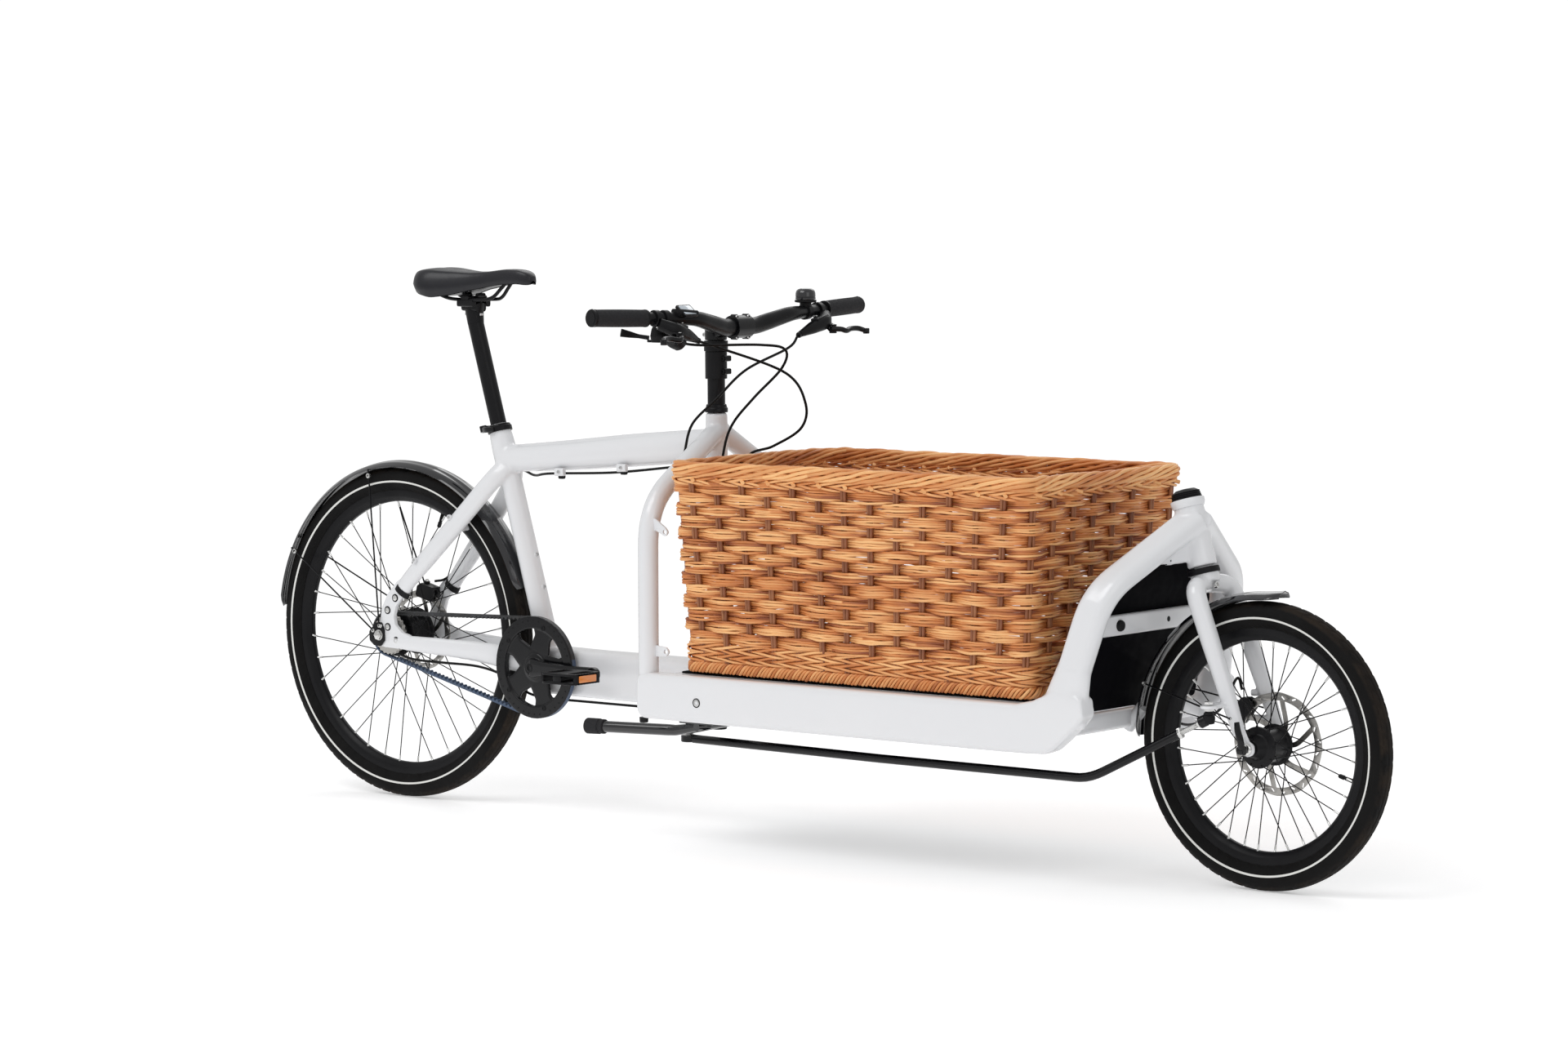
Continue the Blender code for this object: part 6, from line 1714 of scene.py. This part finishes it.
def make_column():
    """The steering column with its headset cup, spacers and clamp, and the arm at its foot."""
    axis = at(HEAD_X, 0, 0)
    shape = Shape()
    shape.turned([(0.191, 0.0135), (0.192, 0.015), (0.78, 0.015)], axis, UP, 40)
    headset = [(0.7853, 0.015), (0.7853, 0.0205), (0.7862, 0.0214), (0.793, 0.0214), (0.7942, 0.0205),
               (0.7948, 0.0198), (0.8, 0.0188), (0.801, 0.0165), (0.9195, 0.0165), (0.9195, 0.015)]
    shape.turned(headset, axis, UP, 48)
    for low, high, radius in ((0.848, 0.899, 0.0206), (0.8995, 0.919, 0.0225)):
        shape.turned([(low, 0.016), (low, radius - 0.0006), (low + 0.0006, radius), (high - 0.0006, radius),
                      (high, radius - 0.0006), (high, 0.016)], axis, UP, 48, closed=True)
    back = at(HEAD_X + 0.0215, 0.004, 0)
    for z in (0.862, 0.886):
        shape.bar(back + at(0, -0.0085, z), back + at(0, 0.0085, z), rounded_rect(0.01, 0.011, 0.003), AHEAD,
                  step=0.003)
        shape.bolt(back + at(0, -0.0085, z), -LEFT, 0.004, 0.0026)
    piece("steering_column", shape, "anodised", "bars", ["steering_column"])
    arm = Shape()
    ball = pivot("rod_yaw")
    near = [(0.016 * cos(t), 0.016 * sin(t)) for t in np.linspace(0.1, pi + 0.1, 14)]
    far = [(ball[0] - HEAD_X + 0.0118 * cos(t),
            ball[1] + 0.0118 * sin(t)) for t in np.linspace(pi + 0.1, 2 * pi + 0.1, 14)]
    arm.plate([near + far, ring(0.0043, 24) + [ball[0] - HEAD_X, ball[1]]], 0.011, at(HEAD_X, 0, 0.201),
              AHEAD, LEFT, bevel=0.0012)
    piece("steering_arm", arm, "gloss_black", "bars", slot="black_aluminium")


def make_stem():
    """The stem's clamp on the column, its neck, and the four-bolt face plate round the bar."""
    axis = at(HEAD_X, 0, 0)
    shape, bolts = Shape(), Shape()
    shape.turned([(0.9203, 0.0165), (0.9203, 0.0198), (0.9215, 0.0208), (0.94, 0.0208), (0.9418, 0.019),
                  (0.9418, 0.006)], axis, UP, 48, corner=0.0008)
    neck = line(at(HEAD_X + 0.006, 0, 0.9315), CLAMP - at(0.014, 0, 0.003), step=0.004)
    sizes = [(0.036, 0.02), (0.031, 0.019), (0.036, 0.026), (0.044, 0.03)]
    shape.skin(loft(neck, rounded_rect(1, 1, 0.28, 5), sizes, LEFT))
    shape.turned([(-0.0235, 0.0165), (-0.0235, 0.0205), (-0.0225, 0.0213), (0.0225, 0.0213), (0.0235, 0.0205),
                  (0.0235, 0.0165)], CLAMP, sides=56, closed=True)
    for _, sign in SIDES:
        for z in (-0.0185, 0.0185):
            lug = CLAMP + at(-0.004, sign * 0.0165, z)
            shape.rod(lug, lug + at(0.012, 0, 0), 0.0052, 20, step=0.003)
            bolts.bolt(lug + at(0.011, 0, 0), AHEAD, 0.0042, 0.0036)
        bolts.bolt(at(HEAD_X - 0.018, sign * 0.0105, 0.93), LEFT * sign, 0.004, 0.003)
    piece("stem", shape, "forged", "bars", ["stem"])
    piece("stem_bolts", bolts, "steel", "bars")


def make_handlebar():
    """A riser bar, thick at its clamp and swept back, with its grips and lock rings."""
    path = soften([CLAMP, CLAMP + LEFT * 0.045, BAR_BEND, BAR_END - GRIP_DIR * 0.002], 0.1, 8)
    path = even(path, 0.005)
    radii = np.interp(distances(path), [0, 0.08, 0.13, 0.185, 0.215],
                      [0.0159, 0.0157, 0.0142, 0.0117, 0.0111])
    whole = np.vstack([path[::-1] * [1, -1, 1], path[1:]])
    radius = np.concatenate([radii[::-1], radii[1:]])
    bar = Shape().skin(tube(whole, radius, 32, UP))
    piece("handlebar", bar, "anodised", "bars", ["handlebar"])
    for side, sign in SIDES:
        end = bar_point(0, sign)
        inward = -GRIP_DIR * at(1, sign, 1)
        profile = [(0.0045, 0.0117), (0.0045, 0.0158), (0.0056, 0.0162)]
        profile += [(t, 0.0156 + 0.0005 * cos((t - 0.065) * 24)) for t in np.linspace(0.012, 0.118, 30)]
        profile += [(0.1235, 0.0158), (0.124, 0.0152), (0.124, 0.0117)]
        piece(f"{side}_grip", Shape().turned(profile, end, inward, 96, closed=True), "foam", "bars",
              [f"grip_{side}"])
        rings_shape = Shape()
        for start in (-0.0008, 0.1242):
            rings_shape.turned([(start, 0.0117), (start, 0.0155), (start + 0.0008, 0.0162),
                                (start + 0.0042, 0.0162), (start + 0.005, 0.0155), (start + 0.005, 0.0117)],
                               end, inward, 48, closed=True)
        rings_shape.turned([(-0.0016, 0.008), (-0.0016, 0.012), (0.004, 0.012)], end, inward, 36)
        rings_shape.bolt(end + inward * 0.0019 + UP * 0.016, UP, 0.0018, 0.0006)
        piece(f"{side}_lock_rings", rings_shape, "anodised", "bars")


def clamp_band(shape, distance, sign, half=0.0058, radius=0.0152):
    """A split clamp round the bar."""
    centre = bar_point(distance, sign)
    shape.turned([(-half, 0.0117), (-half, radius - 0.0008), (-half + 0.0008, radius),
                  (half - 0.0008, radius), (half, radius - 0.0008), (half, 0.0117)], centre,
                 GRIP_DIR * at(1, sign, 1), 44, closed=True)
    return centre


def make_brake_control(side, sign):
    """A hydraulic brake control: clamp, master cylinder with its reservoir cap, and the lever blade."""
    body, screws = Shape(), Shape()
    mount = clamp_band(body, 0.152, sign)
    cylinder = spline([mount + at(0.012, sign * 0.004, -0.01), mount + at(0.03, sign * -0.018, -0.021),
                       mount + at(0.03, sign * -0.048, -0.03), mount + at(0.026, sign * -0.084, -0.042)],
                      0.003)
    sizes = [(0.022, 0.025), (0.027, 0.0275), (0.022, 0.022), (0.011, 0.011)]
    body.skin(loft(cylinder, rounded_rect(1, 1, 0.38, 5), sizes, UP))
    hinge = pivot(f"{side}_brake_squeeze")
    for z in (-0.0068, 0.0068):
        ear = line(mount + at(0.03, sign * -0.012, -0.024 + z * 0.4), hinge + UP * z, step=0.003)
        body.skin(sweep(ear, rounded_rect(0.0028, 0.014, 0.001, 2), UP))
        body.turned([(-0.0015, 0.007), (0.0015, 0.007)], hinge + UP * z, UP, 28)
    cap_spot = mount + at(0.03, sign * -0.03, -0.0125)
    body.bar(cap_spot - at(0, sign * -0.016, -0.002), cap_spot + at(0, sign * -0.016, -0.005),
             rounded_rect(0.018, 0.007, 0.003, 3), AHEAD, step=0.003)
    for y in (-0.01, 0.01):
        screws.bolt(cap_spot + at(0, y, 0.003), UP, 0.002, 0.0012)
    screws.bolt(hinge + UP * 0.008, UP, 0.0036, 0.0014)
    screws.bolt(mount + at(0.006, 0, -0.015), -UP, 0.0036, 0.0026)
    port = mount + at(0.026, sign * -0.084, -0.042)
    body.nut(port, unit(at(0.05, sign * -0.92, -0.33)), 0.005, 0.0075)
    piece(f"{side}_brake_control", body, "anodised", "bars", [f"brake_housing_{side}"])
    piece(f"{side}_brake_screws", screws, "zinc", "bars")
    route = spline([hinge + at(0, sign * -0.004, 0), hinge + at(0.012, sign * 0.01, -0.001),
                    hinge + at(0.016, sign * 0.02, -0.004), hinge + at(0.011, sign * 0.04, -0.001),
                    hinge + at(0.014, sign * 0.058, -0.001), hinge + at(0.0235, sign * 0.071, -0.006)],
                   0.0025)
    sizes = [(0.0105, 0.012), (0.01, 0.011), (0.0095, 0.0085), (0.0095, 0.008), (0.01, 0.008),
             (0.009, 0.0085)]
    blade = Shape().skin(loft(route, rounded_rect(1, 1, 0.34), sizes, UP))
    blade.turned([(-0.005, 0.0062), (0.005, 0.0062)], hinge, UP, 28)
    blade.turned([(-0.0052, 0.0055), (-0.004, 0.0062), (0.004, 0.0062), (0.0052, 0.0055)], route[-1], UP, 24)
    piece(f"{side}_brake_blade", blade, "forged", f"{side}_brake_lever", [f"brake_lever_{side}"])


def make_shifter():
    """The gear shifter: clamp, pod with a display window, the release trigger and the thumb lever."""
    pod, window, lever = Shape(), Shape(), Shape()
    seat = clamp_band(pod, 0.174, -1)
    route = line(seat + at(-0.004, 0, -0.011), seat + at(-0.012, 0.001, -0.024),
                 seat + at(-0.012, 0.001, -0.044), step=0.0025, bend=0.006)
    sizes = [(0.018, 0.016), (0.03, 0.027), (0.034, 0.031), (0.03, 0.027)]
    pod.skin(loft(route, rounded_rect(1, 1, 0.34, 5), sizes, LEFT))
    pod.bar(seat + at(0.008, 0.022, 0.01), seat + at(0.014, 0.066, 0.006),
            rounded_rect(0.026, 0.014, 0.005, 4), AHEAD, step=0.004)
    face, down = at(0.62, -0.2, 0.76), at(0.78, 0, -0.62)
    middle = seat + at(0.015, 0.045, 0.012)
    for shape, long, wide, lift, thick in ((pod, 0.015, 0.0195, 0.0, 0.006),
                                           (window, 0.0118, 0.016, 0.0032, 0.0014)):
        corners = [middle + face * lift + down * long * u + LEFT * wide * v for u,
                   v in ((-1, -1), (1, -1), (1, 1), (-1, 1))]
        slab(shape, corners, thick, face, 0.003)
    housing = line(seat + at(0.004, 0.012, -0.026), seat + at(0.01, 0.034, -0.052), step=0.003)
    sizes = [(0.034, 0.026), (0.04, 0.036), (0.034, 0.032), (0.022, 0.022)]
    pod.skin(loft(housing, rounded_rect(1, 1, 0.38, 5), sizes, AHEAD))
    hinge = pivot("gear_lever_push")
    pod.turned([(-0.008, 0.0085), (-0.007, 0.0092), (-0.004, 0.0092), (-0.0035, 0.008)],
               hinge + at(0.004, 0.002, 0), UP, 32)
    trigger = spline([seat + at(0.006, 0.004, -0.04), seat + at(0.03, -0.004, -0.044),
                      seat + at(0.044, -0.02, -0.046)], 0.003)
    pod.skin(sweep(trigger, rounded_rect(0.0065, 0.0045, 0.0015, 3), UP))
    blade = spline([hinge + at(-0.002, 0, 0), hinge + at(-0.024, -0.012, 0.004),
                    hinge + at(-0.034, -0.04, 0.01)], 0.0025)
    sizes = [(0.008, 0.007), (0.0075, 0.006), (0.012, 0.0055), (0.015, 0.005)]
    lever.skin(loft(blade, rounded_rect(1, 1, 0.3), sizes, UP))
    piece("shifter_pod", pod, "plastic", "bars", ["shifter"])
    piece("shifter_window", window, "window", "bars")
    piece("thumb_lever", lever, "plastic", "gear_lever", ["shift_lever"])


def make_bell():
    """A round twist bell on its clamp."""
    base, dome = Shape(), Shape()
    clamp_band(base, 0.196, 1, 0.007, 0.015)
    foot = bar_point(0.196, 1) + UP * 0.006
    base.turned([(0, 0.011), (0.0104, 0.011), (0.0118, 0.0198), (0.0128, 0.0206), (0.016, 0.0206)], foot, UP,
                56)
    top = pivot("bell_twist")
    dome.turned([(0, 0.0176), (0.0003, 0.019), (0.001, 0.0192), (0.004, 0.0192), (0.0044, 0.0186),
                 (0.005, 0.0186), (0.0054, 0.0191), (0.012, 0.0188), (0.0165, 0.0174), (0.0195, 0.0142),
                 (0.021, 0.0095), (0.0214, 0.003)], top, UP, 72,
                bumps=lambda along, a: 1 + 0.012 * (along < 0.0036) * (along > 0.0004) * np.sin(36 * a))
    piece("bell_base", base, "plastic", "bars")
    piece("bell_cap", dome, "gloss_black", "bell", ["bell_dome"], slot="black_plastic")


# ================================================================ fork
def make_fork():
    """The unicrown fork: steerer, curved legs, ends, brake mount and steering plate, welded together."""
    crown = fork_point(0.534)
    shape = Shape()
    shape.rod(crown, crown + FORK_DIR * 0.118, 0.015, 32, step=0.01)
    shape.rod(crown - FORK_DIR * 0.01, crown + FORK_DIR * 0.011, 0.0252, 36, step=0.004)
    for _, sign in SIDES:
        leg = line(crown + at(0, sign * 0.002, -0.01), at(1.921, sign * 0.056, 0.52),
                   at(2.018, sign * 0.059, 0.274), step=0.008, bend=0.055)
        radii = np.interp(np.linspace(0, 1, len(leg)), [0, 0.15, 0.45, 0.75, 1],
                          [0.0172, 0.0172, 0.0166, 0.0145, 0.011])
        shape.skin(tube(leg, radii, 32, at(1, 0, 0.4)))
        eye = [(sign * 0.0525, 0.0062), (sign * 0.0525, 0.013), (sign * 0.0606, 0.013),
               (sign * 0.0606, 0.0062)]
        shape.turned(eye, FRONT_AXLE, sides=40, closed=True)
        tongue = line(at(2.008, sign * 0.058, 0.3), at(2.029, sign * 0.0567, 0.256), step=0.006)
        shape.skin(loft(tongue, ring(0.5), [(0.02, 0.02), (0.012, 0.02), (0.008, 0.021)], LEFT))
    for angle, reach in ((158, 0.106), (128, 0.106)):
        spot = around(FRONT_AXLE, reach, radians(angle), 0.05)
        near = at(np.interp(spot[2], [0.274, 0.536], [2.018, 1.915]), 0.058, spot[2])
        shape.bar(near, spot, rounded_rect(0.01, 0.012, 0.004, 3), LEFT, step=0.004)
    mount = line(at(1.985, -0.06, 0.3245), at(1.989, -0.11, 0.3245), step=0.004)
    shape.skin(sweep(mount, rounded_rect(0.03, 0.0065, 0.003, 3), AHEAD))
    shape.turned([(-0.003, 0.0155), (0.003, 0.0155)], at(1.989, -0.1095, 0.3245), UP, 36)
    cuts = [Shape().turned([(-0.07, 0.0062), (0.07, 0.0062)], FRONT_AXLE, sides=32)]
    carve("fork", shape, cuts, "front_fork", ["fork"], 0.0019, 5)
    bolts, joint, silver = Shape(), Shape(), Shape()
    end = ROD_FRONT
    silver.rod(end + UP * 0.004, end + UP * 0.0215, 0.0048, 20, step=0.003)
    silver.nut(end + UP * 0.0232, UP, 0.007, 0.006)
    silver.nut(end + UP * 0.0125, UP, 0.0072, 0.0045)
    joint.turned([(-0.0095, 0.006), (-0.0085, 0.0098), (0, 0.0112), (0.005, 0.0105), (0.0062, 0.0085),
                  (0.008, 0.0092), (0.01, 0.008), (0.012, 0.0062)], end, UP, 40)
    for _, sign in SIDES:
        bolts.bolt(at(1.934, sign * 0.07, 0.488), LEFT * sign, 0.004, 0.0024)
    bolts.bolt(crown + at(0.022, 0, -0.012), at(0.96, 0, 0.28), 0.006, 0.004)
    piece("fork_bolts", bolts, "zinc", "front_fork")
    piece("fork_ball_nuts", silver, "zinc", "front_fork")
    piece("fork_ball_boot", joint, "plastic", "front_fork")
    hinge = pivot("axle_lever_flip")
    lever = spline([hinge + at(0, 0.001, -0.004), hinge + at(0.003, -0.0055, 0.006),
                    hinge + at(0.003, -0.0085, 0.018), hinge + at(-0.003, -0.0075, 0.034),
                    hinge + at(-0.0065, -0.0055, 0.0485)], 0.002)
    sizes = [(0.009, 0.012), (0.007, 0.012), (0.0052, 0.013), (0.0048, 0.0125), (0.004, 0.01)]
    blade = Shape().skin(loft(lever, rounded_rect(1, 1, 0.36), sizes, LEFT))
    blade.turned([(-0.0065, 0.0066), (-0.0058, 0.008), (0.0058, 0.008), (0.0065, 0.0066)], hinge, AHEAD, 32)
    piece("axle_lever", blade, "forged", "axle_lever", ["quick_release_lever"])


# ================================================================ hoses and cable
def hose(name, path, span=None, replaces=()):
    """A stretch of hose along an even path; with a span it rides on no body and its placement is baked into
    its mesh.
    """
    shape = Shape().skin(tube(path, 0.0025, 16))
    made = piece(name, shape, "hose", None if span else "frame", replaces, sharp=60)
    if span:
        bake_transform(made)


def cut(route, *heights):
    """Parts of a route: it is cut where it first comes down to each height, in order."""
    parts, start = [], 0
    for z in heights:
        stop = start + int(np.argmax(route[start:, 2] < z))
        parts.append(route[start:stop + 2])
        start = stop
    return parts + [route[start:]]


def make_hoses():
    """Both brake hoses and the shift cable, held by clips from the bar to their brakes and hub."""
    port = at(0.026, -0.0905, -0.0445)
    left_end = bar_point(0.152, 1) + port
    right_end = bar_point(0.152, -1) + port * at(1, -1, 1)
    span = (at(0.85, 0, 0.89), at(0.83, 0, 0.74))
    rear = spline([left_end, left_end + at(0.004, -0.035, -0.022), at(0.868, 0.01, 0.865),
                   at(0.838, -0.04, 0.812), at(0.792, -0.054, 0.766), at(0.768, -0.048, 0.715),
                   at(0.742, -0.024, 0.684), at(0.7, -0.014, 0.679), at(0.56, -0.014, 0.664),
                   at(0.4, -0.014, 0.656), at(0.33, 0.018, 0.648), at(0.275, 0.044, 0.654),
                   at(0.24, 0.05, 0.644), at(0.171, 0.064, 0.566), at(0.11, 0.075, 0.499),
                   at(0.072, 0.078, 0.456), at(0.044, 0.066, 0.429), at(0.026, 0.053, 0.424)], 0.006)
    top, rest = cut(rear, 0.7)
    hose("rear_hose_top", top, span, replaces=["rear_brake_hose"])
    hose("rear_hose", rest)
    front = spline([right_end, right_end + at(0.01, 0.04, -0.012), at(0.955, 0.02, 0.862),
                    at(0.978, 0.05, 0.806), at(0.958, 0.062, 0.758), at(0.902, 0.048, 0.723),
                    at(0.86, 0.026, 0.704), at(0.851, 0.02, 0.64), at(0.849, 0.03, 0.4),
                    at(0.8765, 0.06, 0.34), at(0.8785, 0.08, 0.3), at(0.915, 0.15, 0.284),
                    at(1.0, 0.185, 0.28), at(1.35, 0.185, 0.28), at(1.66, 0.185, 0.275),
                    at(1.73, 0.165, 0.254), at(1.8, 0.125, 0.26), at(1.88, 0.085, 0.296),
                    at(1.938, 0.05, 0.356), at(1.953, 0.044, 0.338)], 0.006)
    top, rest = cut(front, 0.72)
    turn = int(np.argmin(np.abs(rest[:, 0] - 1.8)))
    hose("front_hose_top", top, span, replaces=["front_brake_hose"])
    hose("front_hose", rest[:turn + 2])
    hose("front_hose_end", rest[turn:], (at(1.805, 0.12, 0.262), at(1.93, 0.06, 0.34)))
    start = pivot("gear_lever_push") + at(0.03, 0.022, -0.002)
    cable = spline([start, start + at(0.026, 0.04, -0.012), at(0.938, -0.03, 0.915), at(0.962, 0.012, 0.905),
                    at(0.945, 0.022, 0.87), at(0.89, 0.008, 0.815), at(0.852, -0.01, 0.765),
                    at(0.842, -0.024, 0.715), at(0.838, -0.03, 0.64), at(0.836, -0.03, 0.42),
                    at(0.806, -0.041, 0.345), at(0.796, -0.041, 0.255), at(0.78, -0.0385, 0.2265),
                    at(0.755, -0.028, 0.2225), at(0.7, -0.014, 0.222), at(0.48, -0.012, 0.2215),
                    at(0.395, -0.014, 0.222), at(0.345, -0.024, 0.23), at(0.312, -0.036, 0.256),
                    at(0.24, -0.047, 0.276), at(0.15, -0.06, 0.28), at(0.08, -0.064, 0.282),
                    at(0.035, -0.061, 0.29)], 0.006)
    top, rest = cut(cable, 0.7)
    hose("shift_cable_top", top, span, replaces=["shift_cable"])
    hose("shift_cable", rest)


make_saddle()
make_seatpost()
make_column()
make_stem()
make_handlebar()
for side, sign in SIDES:
    make_brake_control(side, sign)
make_shifter()
make_bell()
make_fork()
make_hoses()
